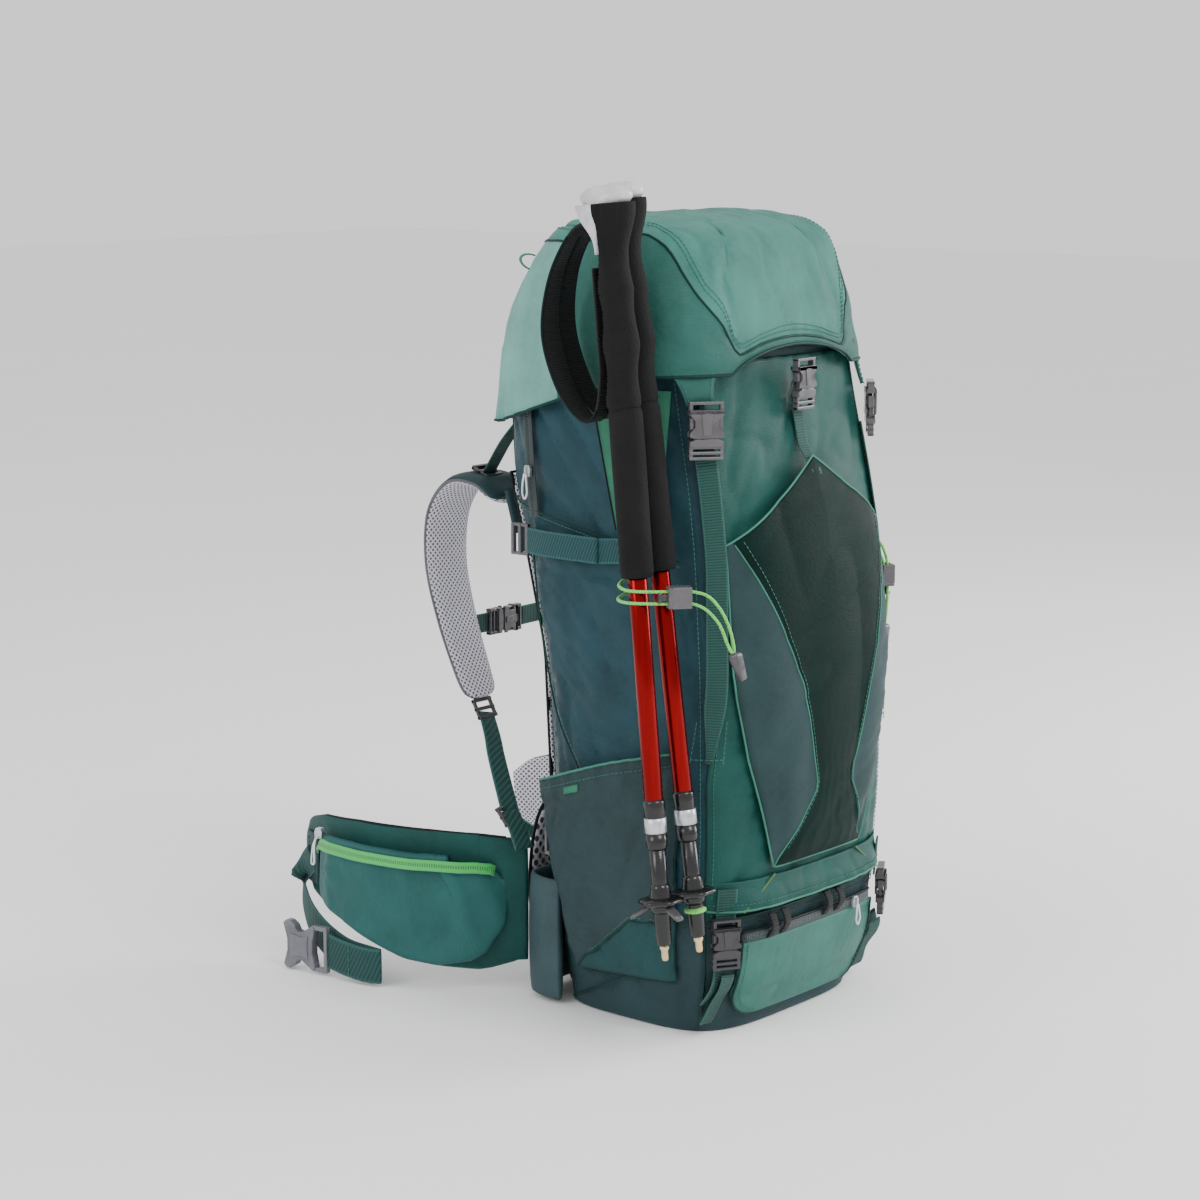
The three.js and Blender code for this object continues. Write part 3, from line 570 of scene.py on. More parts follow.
def spaced(points, step):
    """Points a step apart along a line."""
    points = [Vector(p) for p in points]
    runs = np.concatenate([[0], np.cumsum([(b - a).length for a, b in zip(points, points[1:])])])
    count = max(int(runs[-1] / step), 1)
    table = np.array(points)
    marks = np.linspace(0, runs[-1], count + 1)
    return [Vector([np.interp(mark, runs, table[:, k]) for k in range(3)]) for mark in marks]


def stitches(name, lines, body, material="thread", radius=0.4, dash=3.0, gap=1.6):
    """Rows of sewn thread as short raised dashes."""
    parts = []
    for line in lines:
        dots = spaced(line, (dash + gap) / 3)
        for i in range(0, len(dots) - 2, 3):
            parts.append([dots[i], dots[i + 1], dots[i + 2]])
    return tube(name, None, radius, body, material, parts=parts)


def solids(name, prisms, place, body, material, slot, bevel=0.7):
    """Moulded part: prisms (outline in X and Z, low Y, high Y) in local axes, with softened edges."""
    verts = []
    faces = []
    for outline, low, high in prisms:
        start = len(verts)
        count = len(outline)
        area = sum(a[0] * b[1] - b[0] * a[1] for a, b in zip(outline, outline[1:] + outline[:1]))
        ring = outline if area > 0 else outline[::-1]
        verts += [place @ Vector((x, y, z)) for y in (low, high) for x, z in ring]
        faces.append([start + i for i in range(count)])
        faces.append([start + count + i for i in range(count)][::-1])
        faces += [[start + i, start + count + i, start + count + (i + 1) % count, start + (i + 1) % count]
                  for i in range(count)]
    piece = make_piece(name, verts, faces, body, material, slot, sharp=True)
    edge = piece.modifiers.new("soft_edges", "BEVEL")
    edge.width = bevel * MM
    edge.segments = 2
    edge.limit_method = "ANGLE"
    return piece


def rect(low_x, high_x, low_z, high_z):
    return [(low_x, low_z), (high_x, low_z), (high_x, high_z), (low_x, high_z)]


def rect_beside(side, near, far, low_z, high_z):
    """A rectangle on one side of the middle, from near to far."""
    return rect(*sorted((side * near, side * far)), low_z, high_z)


def mirrored(outline):
    return outline + [(-x, z) for x, z in reversed(outline)]


def both_sides(half, middle):
    """A line of points, one middle point, and the line's mirror image in x."""
    return half + [middle] + [(-point[0], *point[1:]) for point in reversed(half)]


def lathe(name, profile, place, body, material, slot, points=28, wave=None):
    """A turned part: profile of (radius, height) about local Z. wave(angle, height) adds to the radius."""
    verts = []
    for radius, height in profile:
        for k in range(points):
            angle = 2 * pi * k / points
            r = radius + (wave(angle, height) if wave else 0)
            verts.append(place @ Vector((r * cos(angle), r * sin(angle), height)))
    count = len(profile)
    faces = quads(count, points, True)
    faces.append(list(range(points))[::-1])
    faces.append([(count - 1) * points + k for k in range(points)])
    weave = [(points * 0.7 * (i % points) / points, profile[i // points][1], 0) for i in range(len(verts))]
    return make_piece(name, verts, faces, body, material, slot, weave)


def placed(at, turn=0.0, tilt=None):
    spin = Matrix.Rotation(turn, 4, "Z")
    return Matrix.Translation(at) @ spin @ (tilt or Matrix.Identity(4))


def front_place(x, z, lift):
    """Local axes on the front of the bag: X across, -Y out, Z up."""
    at = on_front(x, z, lift)
    out = outward(at)
    return placed(at, atan2(out.x, -out.y))


# ---- Cords: the elastics that hold the poles ----
# The same routes as in the CAD. Left: round both shafts, through the lock to the pull and back. Right: empty.
CORD_LEFT = [
    (-152.5, -34, 446), (-172, -38, 446), (-194, -42, 445), (-212, -50, 443), (-219, -62, 441),
    (-215, -73, 440), (-206, -82, 439.5), (-195.4, -89.8, 439), (-184.5, -98.5, 439), (-173.6, -107.2, 438),
    (-163, -116, 433), (-155, -124, 420), (-150, -130, 403), (-148, -133, 388), (-150, -135, 381.5),
    (-154, -135, 383), (-157, -132, 392), (-160, -126, 408), (-166, -116, 421), (-174.5, -106.5, 427),
    (-184.5, -98.5, 428), (-195.4, -89.8, 428), (-206, -82, 428.5), (-215, -73, 429), (-219.5, -62, 429.5),
    (-212, -49, 430), (-194, -41, 431), (-172, -37, 432), (-152.5, -33, 433),
]
CORD_RIGHT = [
    (149.5, -58, 450), (157, -61, 451), (165, -67, 448), (170, -76, 438), (171.3, -82, 424),
    (171.3, -84, 407), (171.5, -84, 390), (172, -83, 372), (172.5, -81, 358), (174, -78.5, 355),
    (175.5, -77, 358), (176.5, -76, 372), (177.5, -75.5, 390), (177.7, -75, 407), (177, -73, 422),
    (172, -66, 434), (162, -58, 438), (149.8, -54, 438),
]
CORD_R = 1.5
LOCKS = {  # where each cord lock sits, how far it is turned about Z, and its tilt about X
    "left": (Vector((-184.5, -98.5, 433.5)), -2.246, 0),
    "right": (Vector((174.5, -79.5, 407)), -0.619, pi / 2),
}
PULLS = {  # top and bottom of each moulded pull
    "left": (Vector((-149, -136.5, 378)), Vector((-144, -141, 357))),
    "right": (Vector((174, -78.5, 352)), Vector((174, -78.5, 330))),
}


def pole_cords():
    """Each pole elastic with its lock, the lock's button and the moulded pull."""
    for side, route in (("left", CORD_LEFT), ("right", CORD_RIGHT)):
        points = spline(route, 90)
        name = f"pole_elastic_{side}"
        elastic = tube(name, points, CORD_R, "bag", "elastic")
        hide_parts(f"pole_cord_{side}")
        at, turn, tilt = LOCKS[side]
        place = placed(at, turn, Matrix.Rotation(tilt, 4, "X"))
        face = [(-6.5, -9), (-5, -10), (5, -10), (6.5, -9), (6.5, 9), (5, 10), (-5, 10), (-6.5, 9)]
        lock = solids(f"cord_lock_body_{side}", [
            (face, -11, -7.5), (rect(-6.5, 6.5, 8, 10), -8, 11), (rect(-6.5, 6.5, -10, -8), -8, 11),
            (rect(-6.5, -3.2, -9, 9), -8, 11), (rect(3.2, 6.5, -9, 9), -8, 11),
        ], place, "bag", "grey", "buckle_light", 0.9)
        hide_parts(f"cord_lock_{side}")
        button = solids(f"cord_lock_button_{side}", [
            (rect(-2.5, 2.5, -3, 3), -19, -5),
            (mirrored([(0, -4.5), (3.2, -4.5), (4, 0), (3.2, 4.5), (0, 4.5)]), -20, -17),
        ], place, f"cord_button_{side}", "dark_plastic", "buckle_dark")
        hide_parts(f"cord_button_{side}")
        top, low = PULLS[side]
        wedge = [
            (top + Vector((0, 0, 4)), 9, 6), (top + Vector((0, 0, 2)), 13, 8.6), (top, 14, 9),
            (top.lerp(low, 0.5), 12, 7.4), (low, 9.4, 5.4), (low - Vector((0, 0, 1.5)), 6, 3),
        ]
        stations = [(at, (1, 0, 0), width, thick) for at, width, thick in wedge]
        pull = sweep(f"cord_pull_wedge_{side}", stations, "bag", "grey", "buckle_light", power=4)
        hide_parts(f"cord_pull_{side}")


# ---- Bag body ----
BACK_SEAM_X = 112


def ring_turns(z, counts):
    """The angles of a ring's points at height z, with a column on every seam."""
    front, back, half = section(z)
    mid = (front + back) / 2
    front_seam = on_front(seam_x(z), z)
    back_seam = on_front(min(BACK_SEAM_X, 0.8 * half), z, face=1)
    a = -atan2(front_seam.y - mid, front_seam.x)
    b = atan2(back_seam.y - mid, back_seam.x)
    edges = [-pi + a, -a, b, pi - b, pi + a]
    turns = []
    for k in range(4):
        turns += [edges[k] + (edges[k + 1] - edges[k]) * i / counts[k] for i in range(counts[k])]
    return turns


RING_COUNTS = (56, 52, 40, 52)  # columns in the front, right, back and left regions


def region_of(column):
    for k, count in enumerate(RING_COUNTS):
        if column < count:
            return k, column / count
        column -= count
    return 0, 0.0


def bag_grid(low, high, step):
    heights = np.linspace(low, high, int((high - low) / step) + 1)
    return [[on_ring(z, t) for t in ring_turns(z, RING_COUNTS)] for z in heights]


def sink(row, column, point):
    """How the bag's cloth sinks between its seams, with diagonal folds on the sides."""
    region, share = region_of(column)
    edge = min(share, 1 - share)
    calm = ease(edge, 0.0, 0.1)
    if region in (1, 3):
        drag = (0, 0.66, 0.75) if point.z > 430 else (0, 0.3, 0.95)
        folds = 8.0 * fold(point, drag, 40, 6) + 4.0 * fold(point, (0, 0.75, 0.6), 17, 5, 7)
    elif region == 0:
        folds = 5.0 * fold(point, (0.3, 0, 1), 44, 4, 3) + 3.0 * fold(point, (1, 0, 0.3), 20, 3, 5)
    else:
        folds = 1.6 * fold(point, (1, 0, 0.1), 36, 3, 9)
    return -calm * folds


def body():
    """The upper bag, the bottom compartment, and the floor of each."""
    def pick(row, column):
        return (0, 1, 2, 1)[region_of(column)[0]]

    upper = pushed(bag_grid(SPLIT_Z, RIM_Z, 4.5), sink, wrap=True)
    skin = cloth_sheet("body_skin", upper, "bag", ["body", "side", "dark"], "body_fabric", 3.0, True, pick)
    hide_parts("main_bag")

    def base_sink(row, column, point):
        return sink(row, column, point) * ease(point.z, 4, 30) * 0.8

    lower = pushed(bag_grid(0.4, SPLIT_Z - 0.6, 4), base_sink, wrap=True)
    base = cloth_sheet("base_skin", lower, "bag", ["dark"], "dark_fabric", 3.0, True)
    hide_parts("bottom_compartment")
    for name, z, drop in (("body_floor", SPLIT_Z + 3, 3), ("base_floor", 1.6, 3)):
        rim = [on_ring(z, 2 * pi * i / 64, -drop) for i in range(64)]
        rings = [[Vector((p.x * k, 5 + (p.y - 5) * k, z)) for p in rim] for k in (0.06, 0.5, 1)]
        cloth_sheet(name, rings, "bag", ["dark"], "dark_fabric", 1.2, True, outside=(0, 0, z - 50))


def body_seams():
    """The bag's upright seams, the seam above the bottom compartment, and their stitches."""
    heights = list(range(16, 636, 8))
    lines = []
    for side in SIDES.values():
        front = [on_front(side * seam_x(z), z, 0.5) for z in heights]
        back = [on_front(side * min(BACK_SEAM_X, 0.8 * section(z)[2]), z, 0.4, 1) for z in heights]
        name = "left" if side < 0 else "right"
        bag_seam(f"front_seam_{name}", front, 1.0)
        bag_seam(f"back_seam_{name}", back, 1.2)
        lines.append([on_front(side * (seam_x(z) - 4), z, 0.5) for z in heights if z > SPLIT_Z])
        lines.append([on_side(side, section(z)[0] + 34, z, 0.4) for z in heights if z > SPLIT_Z])
    stitches("seam_stitches", lines, "bag", "thread")
    joint = [on_ring(SPLIT_Z, 2 * pi * i / 120, 0.6) for i in range(120)]
    bag_seam("split_seam", joint, 1.3, cyclic=True)
    for drop in (5, 9):
        ring = [on_ring(SPLIT_Z - drop, 2 * pi * i / 120, 0.5) for i in range(121)]
        stitches(f"split_stitches_{drop}", [ring], "bag", "dark_thread")


def side_strips():
    """The strip of body cloth beside the poles, painted a lighter green as painted light where the cloth is
    brightly lit, and the seams that cross the side panels.
    """
    for name, side in SIDES.items():
        rows = [[on_side(side, y, z, 0.9) for y in np.linspace(-50, 39 - (617 - z) * 0.29, 14)]
                for z in range(614, 476, -6)]
        # The strip's lighter green is painted light: the body cloth shown as if brightly lit.
        cloth_sheet(f"side_strip_{name}", rows, "bag", ["trim_green"], "lid_fabric", 1.0)
        bag_seam(f"side_strip_seam_{name}", [row[-1] for row in rows], 1.0, "binding")
        upper = [on_side(side, y, 471 + 0.19 * y, 0.7) for y in range(-70, 150, 6)]
        curve = spline([(109, 448, 0), (104, 377, 0), (80, 300, 0), (42, 238, 0)], 30)
        lower = [on_side(side, p.x, p.y, 0.7) for p in curve]
        bag_seam(f"side_seam_upper_{name}", upper, 0.9)
        bag_seam(f"side_seam_lower_{name}", lower, 0.9)
        sewn = [[p + Vector((0, 0, -4)) for p in upper], [p + Vector((0, -3, 0)) for p in lower]]
        stitches(f"side_seam_stitches_{name}", sewn, "bag", "thread")
        tape = [(on_side(side, 104 + (z - 484) * 0.14, z, 1.2), (0, 1, 0), 11, 1.6)
                for z in range(484, 604, 6)]
        sweep(f"side_zip_{name}", tape, "bag", "dark_zip", "dark_fabric")
        slider_and_puller(f"side_zip_puller_{name}", on_side(side, 110, 528, 5), "bag")


def slider_and_puller(name, at, body_name, drop=26):
    """A die-cast zip slider with a cord puller hanging from it."""
    turn = atan2(outward(at).x, -outward(at).y)
    place = placed(at, turn)
    outline = [(-3.5, -5), (3.5, -5), (4.5, 2), (3, 6), (-3, 6), (-4.5, 2)]
    prisms = [(outline, -1.5, 2), (rect(-1.2, 1.2, -4, 5), -4, -1)]
    solids(name, prisms, place, body_name, "zinc", "zinc", 0.5)
    half_loop = [(-1, -3.5, -2), (-3, -4, -12), (-3.4, -4, -drop + 5)]
    loop = [place @ Vector(p) for p in both_sides(half_loop, (0, -4, -drop))]
    tube(f"{name}_loop", spline(loop, 30), 1.0, body_name, "cap")


def collar():
    """The gathered collar under the lid, drawn in by its cord."""
    def gather(row, column, point):
        return -1.6 * ease(point.z, RIM_Z, 684) * (1 + sin(column * 2 * pi / 5 + noise.noise(point / 30) * 4))

    rows = []
    for z in np.linspace(RIM_Z + 0.6, 684, 12):
        inset = 24 * ease(z, RIM_Z, 700) ** 0.8
        rows.append([Vector((p.x * (1 - inset / 146), 48 + (p.y - 48) * (1 - inset / 130), z))
                     for p in (on_ring(RIM_Z, 2 * pi * i / 220) for i in range(220))])
    gathered = pushed(rows, gather, True)
    piece = cloth_sheet("collar_gathers", gathered, "bag", ["slate"], "slate_fabric", 1.6, True)
    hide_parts("snow_collar")
    hem = [p + Vector((0, 0, -3)) for p in rows[-1][::4]]
    bag_seam("collar_cord", hem, 2.2, "binding", cyclic=True)


# ---- Bottom flap ----
def flap_half(z):
    radius = 30
    low = 14
    if z < low + radius:
        return 104 - radius + sqrt(max(radius ** 2 - (low + radius - z) ** 2, 0))
    return 104


def bottom_flap():
    """The zipped flap at the foot of the front, with its piping and its zip."""
    def folds(row, column, point):
        calm = ease(point.z, 14, 28) * ease(92 - point.z, 0, 10)
        return -calm * (2.6 * fold(point, (1, 0, 0.25), 26, 4, 2) + 0.9 * fold(point, (0.5, 0, 1), 11, 3, 4))

    heights = np.concatenate([np.linspace(14.3, 44, 14), np.linspace(48, 92, 14)])
    rows = [[on_front(u * flap_half(z), z, 4.6) for u in np.linspace(-1, 1, 90)] for z in heights]
    rows = pushed(rows, folds)
    skin = cloth_sheet("flap_skin", rows, "bottom_flap", ["panel"], "panel_fabric", 3.4)
    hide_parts("bottom_flap")
    border = [on_front(-flap_half(z), z, 4.4) for z in heights[::-1]] + [
        on_front(flap_half(z), z, 4.4) for z in heights]
    tube("flap_piping", border, 1.3, "bottom_flap", "welt")
    inner = [on_front(-flap_half(z) + 6, z + 3, 4.9) for z in heights[::-1]] + [
        on_front(flap_half(z) - 6, z + 3, 4.9) for z in heights]
    stitches("flap_stitches", [inner], "bottom_flap")
    tape = [(on_front(x, 97, 2.4), (0, 0, 1), 11, 2.2) for x in range(-104, 105, 6)]
    sweep("flap_zip", tape, "bag", "dark_zip", "dark_fabric")
    edge = [on_front(x, 102.5, 2.6) for x in range(-104, 105, 6)]
    bag_seam("flap_zip_welt", edge, 1.5, "binding")
    slider_and_puller("flap_zip_slider", on_front(66, 97, 5.5), "bag", 22)


# ---- Lid ----
def off_front(turn):
    """The angle between a direction round the bag and its front, from 0 to pi."""
    return abs((turn + pi / 2 + pi) % (2 * pi) - pi)


def lid_tree():
    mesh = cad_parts["lid_hood"].data
    return BVHTree.FromPolygons([v.co / MM for v in mesh.vertices], [p.vertices[:] for p in mesh.polygons])


LID_TREE = lid_tree()
LID_HEART = Vector((0, 48, 665))
LID_INSIDE = (0, 48, 600)  # a point under the lid, which its cloth faces away from
LID_COLUMNS = 176


def lid_point(turn, climb):
    """A point on the lid: climb is millimetres below the heart's height, or degrees above it."""
    rise = radians(max(climb, 0))
    heart = LID_HEART + Vector((0, 0, min(climb, 0)))
    away = Vector((cos(turn) * cos(rise), sin(turn) * cos(rise), sin(rise)))
    hit = LID_TREE.ray_cast(heart + away * 500, -away)[0]
    return hit


def lid_hem(turn):
    """How far below the heart the lid's hem is: it dips to the back and arches over the front buckle."""
    wall = lid_point(turn, 0)
    height = np.interp(-wall.y, [-220, -150, -60, 40, 220], [563, 572, 602, 626, 632])
    if wall.y < 0 and abs(wall.x) < 100:
        height = max(height, 612 + 38 * sqrt(1 - (wall.x / 100) ** 2))
    return height + 1 - LID_HEART.z


def lid_seam(turn):
    """How far up the seam between the side gusset and the top panel runs."""
    from_front = off_front(turn)
    rise = ease(from_front, radians(30), radians(66))
    fall = ease(from_front, radians(132), radians(160))
    return rise * 34 - fall * 26


def lid_grid():
    """Points on the CAD's lid from its hem up to its crown, evened out, and the rows below its seam."""
    low_rows = 14
    top_rows = 34
    turns = [2 * pi * i / LID_COLUMNS for i in range(LID_COLUMNS)]
    columns = []
    for turn in turns:
        hem = lid_hem(turn)
        seam = lid_seam(turn)
        seam = hem + 7 if seam < 1 else seam
        climbs = list(np.linspace(hem, seam, low_rows)) + list(np.linspace(seam, 88, top_rows))[1:]
        column = []
        for climb in climbs:
            hit = lid_point(turn, climb)
            column.append(hit if hit else column[-1])
        columns.append(column)
    grid = np.array([[columns[c][r] for c in range(LID_COLUMNS)] for r in range(low_rows + top_rows - 1)])
    for _ in range(4):
        eased = (np.roll(grid, 1, 1) + np.roll(grid, -1, 1)) / 2
        inner = (grid[:-2] + grid[2:]) / 2
        grid[1:-1] = 0.4 * grid[1:-1] + 0.3 * eased[1:-1] + 0.3 * inner
    return grid, low_rows


def lid():
    """The lid's cloth, its crown, its seam, its hem and its stitches."""
    grid, low_rows = lid_grid()

    def shape(row, column, point):
        turn = 2 * pi * column / LID_COLUMNS
        from_front = off_front(turn)
        rear = ease(from_front, 1.6, 2.3)
        near_hem = exp(-row / 5)
        gather = 2.4 * rear * near_hem * sin(column * 2.1 + 2 * noise.noise(point / 40))
        soft = 3.2 * fold(point, (1, 0.4, 0), 52, 3, 11)
        soft += (2.6 + 3.0 * rear) * fold(point, (0, 0.3, 1), 24, 4, 8)
        crown = 1.5 * ease(point.z, 700, 765)
        front_share = ease(1.9 - from_front, 0, 0.7)
        crown += 10 * front_share * exp(-((point.z - 744) / 20) ** 2)
        pinch = 1.6 * exp(-((row - low_rows + 1) / 1.6) ** 2)
        return 1.0 + crown + gather - soft * ease(row, 1, 8) - pinch

    grid = pushed(grid, shape, True, LID_INSIDE)

    def pick(row, column):
        turn = 2 * pi * column / LID_COLUMNS
        from_front = off_front(turn)
        if row >= low_rows - 1:
            return 0
        # Below the seam the lid's side panel is painted: a lighter, lit copy of the lid cloth at the back is
        # painted light, and a darker copy at the front and sides is painted shade.
        return 2 if from_front > radians(100) else 1

    cloths = ["lid", "gusset", "lid_back_painted_light"]
    shell = cloth_sheet("lid_skin", grid, "lid", cloths, "lid_fabric", 3.0, True, pick, LID_INSIDE)
    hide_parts("lid_hood")
    crown = np.array([grid[-1] * (1 - k) + grid[-1].mean(axis=0) * k for k in (0, 0.5, 0.97)])
    cloth_sheet("lid_crown", crown, "lid", ["lid"], "lid_fabric", 2.6, True, outside=LID_INSIDE)
    seam = [Vector(p) for p in grid[low_rows - 1]]
    tube("lid_piping", seam, 1.3, "lid", "welt", cyclic=True)
    hem = [Vector(p) for p in grid[0]]
    tube("lid_hem_binding", hem, 1.5, "lid", "welt", cyclic=True)
    for offset in (low_rows + 1, low_rows + 2):
        line = [Vector(p) + unit(Vector(p) - LID_HEART) * 0.5 for p in grid[offset]]
        stitches(f"lid_stitches_{offset}", [line + line[:1]], "lid")


# The tab at each lid buckle: height, width and lift off the bag.
LID_TAB = [(646, 50, 5.5), (638, 47, 6.5), (629, 40, 7.4), (620, 33, 8.2), (611, 28, 9.4), (603, 26, 10.5)]


def lid_tabs():
    """The tabs that narrow from under the lid's hem to its buckles, and the small loops on the lid's back."""
    for name, side in SIDES.items():
        stations = []
        for z, width, lift in LID_TAB:
            at = on_front(side * 122.5, z, lift)
            out = outward(at)
            stations.append((at, (-out.y, out.x, 0), width, 3.0))
        # The tabs take the lid cloth's darker copy, which is painted shade.
        sweep(f"lid_tab_{name}", stations, "lid", "gusset", "lid_fabric")
        edges = [[Vector(at) + unit(Vector(a)) * (w * k) + outward(at) * 1.8 for at, a, w, _ in stations]
                 for k in (-0.4, 0.4)]
        stitches(f"lid_tab_stitches_{name}", edges, "lid")
        turn = pi / 2 - side * radians(52)
        root = lid_point(turn, 22)
        away = unit(root - LID_HEART)
        root -= away * 9
        rise = unit(Vector((0, 0, 1)) - away * away.z)
        loop = [root + rise * (7 * cos(t)) + away * (1 + 12 * sin(t)) for t in np.linspace(0, pi, 14)]
        stations = [(p, away.cross(rise), 9, 1.6) for p in loop]
        sweep(f"lid_side_loop_{name}", stations, "lid", "trim_green", "lid_fabric")


# ---- Front pocket ----
def sewn_edge(rows):
    """The sides and the low edge of a pocket's grid, as one line."""
    down = [Vector(r[0]) for r in rows[::-2]]
    across = [Vector(p) for p in rows[0][::3]]
    return down + across + [Vector(r[-1]) for r in rows[::2]]


def pocket_half(z):
    """Half the pocket's width: as wide as the straps allow in its upper half, and drawn in below."""
    return np.interp(z, [162, 169, 225, 270, 330, 357, 473], [70, 72, 90, 105, 118, 121, 120])


def strip_share(t):
    """Share of the pocket's half width inside its slate blades, whose points meet its lower corners."""
    return 1 - np.interp(t, [0, 0.2, 0.49, 0.74, 1], [0.0, 0.7, 0.55, 0.31, 0.05])


POCKET_ROWS = 84
BLADE, PANEL = 10, 64  # columns in each slate blade and in the panel between them


def pocket_share(column, t):
    """Where a column stands across the pocket, from -1 to 1, at t up it."""
    inner = strip_share(t)
    if column <= BLADE:
        return -1 + (1 - inner) * column / BLADE
    if column >= BLADE + PANEL:
        return inner + (1 - inner) * (column - BLADE - PANEL) / BLADE
    return inner * (2 * (column - BLADE) / PANEL - 1)


def front_pocket_grid():
    """The pocket's cloth, full in the middle, creased all over and gathered at its foot."""
    rows = []
    for r in range(POCKET_ROWS):
        t = r / (POCKET_ROWS - 1)
        row = []
        for c in range(2 * BLADE + PANEL + 1):
            u = pocket_share(c, t)
            top = 547 - abs(u) * 74
            z = 162 + (top - 162) * t
            round_off = max(1 - abs(u) ** 6, 0) * sqrt(max(1 - (1 - t) ** 14, 0))
            lift = 1.2 + (15.5 - 5 * t ** 8) * round_off + 9 * (1 - u * u) * sin(pi * t)
            row.append(on_front(u * pocket_half(z), z, lift))
        rows.append(row)

    def folds(row, column, point):
        t = row / (POCKET_ROWS - 1)
        u = pocket_share(column, t)
        calm = ease(1 - abs(u), 0.0, 0.1) * ease(t, 0, 0.03)
        low = exp(-t * 7)
        gather = 0.8 * low * abs(sin(column * 0.3 + 1.5 * noise.noise(point / 25)))
        deep = 5.0 * fold(point, (0.16, 0, 1), 90, 4, 6) + 3.0 * fold(point, (1, 0, 0.35), 46, 4, 2)
        fine = 1.8 * fold(point, (1, 0, 0.12), 13, 6, 9) * ease(u, -0.2, 0.9)
        return 1.5 - calm * (deep + gather + fine)

    return pushed(rows, folds)


def front_pocket():
    """The front pocket with its slate blades, their seams, its edges and the seams at its lower corners."""
    rows = front_pocket_grid()

    def pick(row, column):
        return 1 if column < BLADE or column >= BLADE + PANEL else 0

    skin = cloth_sheet("front_pocket_skin", rows, "bag", ["pocket", "slate"], "body_fabric", 2.6, pick=pick)
    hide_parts("front_pocket")
    for name, column, inwards in (("left", BLADE, 2), ("right", BLADE + PANEL, -2)):
        line = [Vector(rows[r][column]) for r in range(0, POCKET_ROWS, 2)]
        bag_seam(f"pocket_strip_seam_{name}", line, 0.8, "edge")
        sewn = [Vector(rows[r][column + inwards]) + outward(rows[r][column]) * 0.4
                for r in range(4, POCKET_ROWS, 2)]
        stitches(f"pocket_strip_stitches_{name}", [sewn], "bag")
    bag_seam("pocket_mouth_binding", [Vector(p) for p in rows[-1]], 1.1, "edge")
    bag_seam("pocket_edge_piping", sewn_edge(rows), 1.1, "edge")
    for name, side in SIDES.items():
        line = [on_front(side * (66 + 41 * t), 154 - 30 * t, 1.4 + 6 * t * t) for t in np.linspace(0, 1, 10)]
        tube(f"pocket_corner_seam_{name}", line, 0.9, "bag", "yellow")
    overhang()


def overhang():
    """The hem of the body's cloth that stands out over the lower zip."""
    def ruffle(row, column, point):
        flutter = 1.2 * ease(150 - point.z, 0, 20) * noise.noise(point / 16)
        return flutter - 1.5 * fold(point, (0, 0, 1), 20, 3, 4)

    spread = np.linspace(-1, 1, 80)
    rows = []
    for z in np.linspace(154, 126, 14):
        stand = 7.5 * ease(154 - z, 0, 26)
        rows.append([on_front(u * 137, z - 2 * (1 - u * u), 0.6 + stand * (1 - u ** 8)) for u in spread])
    rows = pushed(rows, ruffle)
    cloth_sheet("body_hem", rows, "bag", ["body"], "body_fabric", 1.6)
    tube("body_hem_edge", [Vector(p) for p in rows[-1]], 1.2, "bag", "edge")
    under = [Vector(p) for p in rows[-4]]
    stitches("body_hem_stitches", [[p + outward(p) * 0.4 for p in under]], "bag")


def front_webbing():
    """The centre strap down to the pocket, and the small black gear loops at the foot of the body."""
    stations = [(on_front(0, z, 1.6 + 11 * ease(560 - z, 0, 30)), (1, 0, 0), 15, 1.8)
                for z in range(526, 606, 4)]
    strap = sweep("front_strap_web", stations, "bag", "strap", "webbing")
    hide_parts("front_strap")
    for x, z in ((-70, 104), (-52, 105), (16, 108), (36, 108)):
        loop = [on_front(x, z + dz, 3 + 6.5 * sin(pi * (dz + 12) / 24)) for dz in range(-12, 13, 3)]
        stations = [(p, (1, 0, 0), 9, 2.2) for p in loop]
        sweep(f"gear_loop_{x + 100}", stations, "bag", "black_strap", "webbing")


# ---- Side pockets ----
# The pocket's front and rear edges on the side of the bag, as y and z, from its foot to its mouth.
SIDE_FRONT_EDGE = [(-62, 52), (-74, 280)]
SIDE_REAR_EDGE = [(60, 44), (80, 128), (112, 200), (112, 218)]
SIDE_REAR_RUNS = [0, 0.45, 0.9, 1.0]  # how far up the pocket each point of its rear edge is
SIDE_ROWS, SIDE_COLUMNS = 60, 64


def side_pocket_grid(side):
    """The pocket's slack cloth, creased on a slant and gathered into its mouth."""
    rows = []
    for r in range(SIDE_ROWS):
        t = r / (SIDE_ROWS - 1)
        foot, mouth = SIDE_FRONT_EDGE
        fore = [foot[k] + (mouth[k] - foot[k]) * t for k in (0, 1)]
        rear = [np.interp(t, SIDE_REAR_RUNS, [p[k] for p in SIDE_REAR_EDGE]) for k in (0, 1)]
        row = []
        for c in range(SIDE_COLUMNS):
            u = c / (SIDE_COLUMNS - 1)
            y = fore[0] + (rear[0] - fore[0]) * u
            z = fore[1] + (rear[1] - fore[1]) * u + 6 * t * sin(pi * u)
            shut = sqrt(max(1 - abs(2 * u - 1) ** 8, 0)) * sqrt(max(1 - (1 - t) ** 10, 0))
            row.append(on_side(side, y, z, 1.0 + 14.5 * shut))
        rows.append(row)

    def folds(row, column, point):
        t = row / (SIDE_ROWS - 1)
        calm = ease(t, 0.0, 0.08)
        mouth = 1.4 * exp(-(1 - t) * 9) * sin(column * 1.05 + noise.noise(point / 30))
        crease = 4.4 * fold(point, (0, 0.5, -0.86), 32, 4, 5) + 2.6 * fold(point, (0, 1, 0.5), 15, 4, 1)
        return 1.0 + mouth - calm * crease

    return pushed(rows, folds)


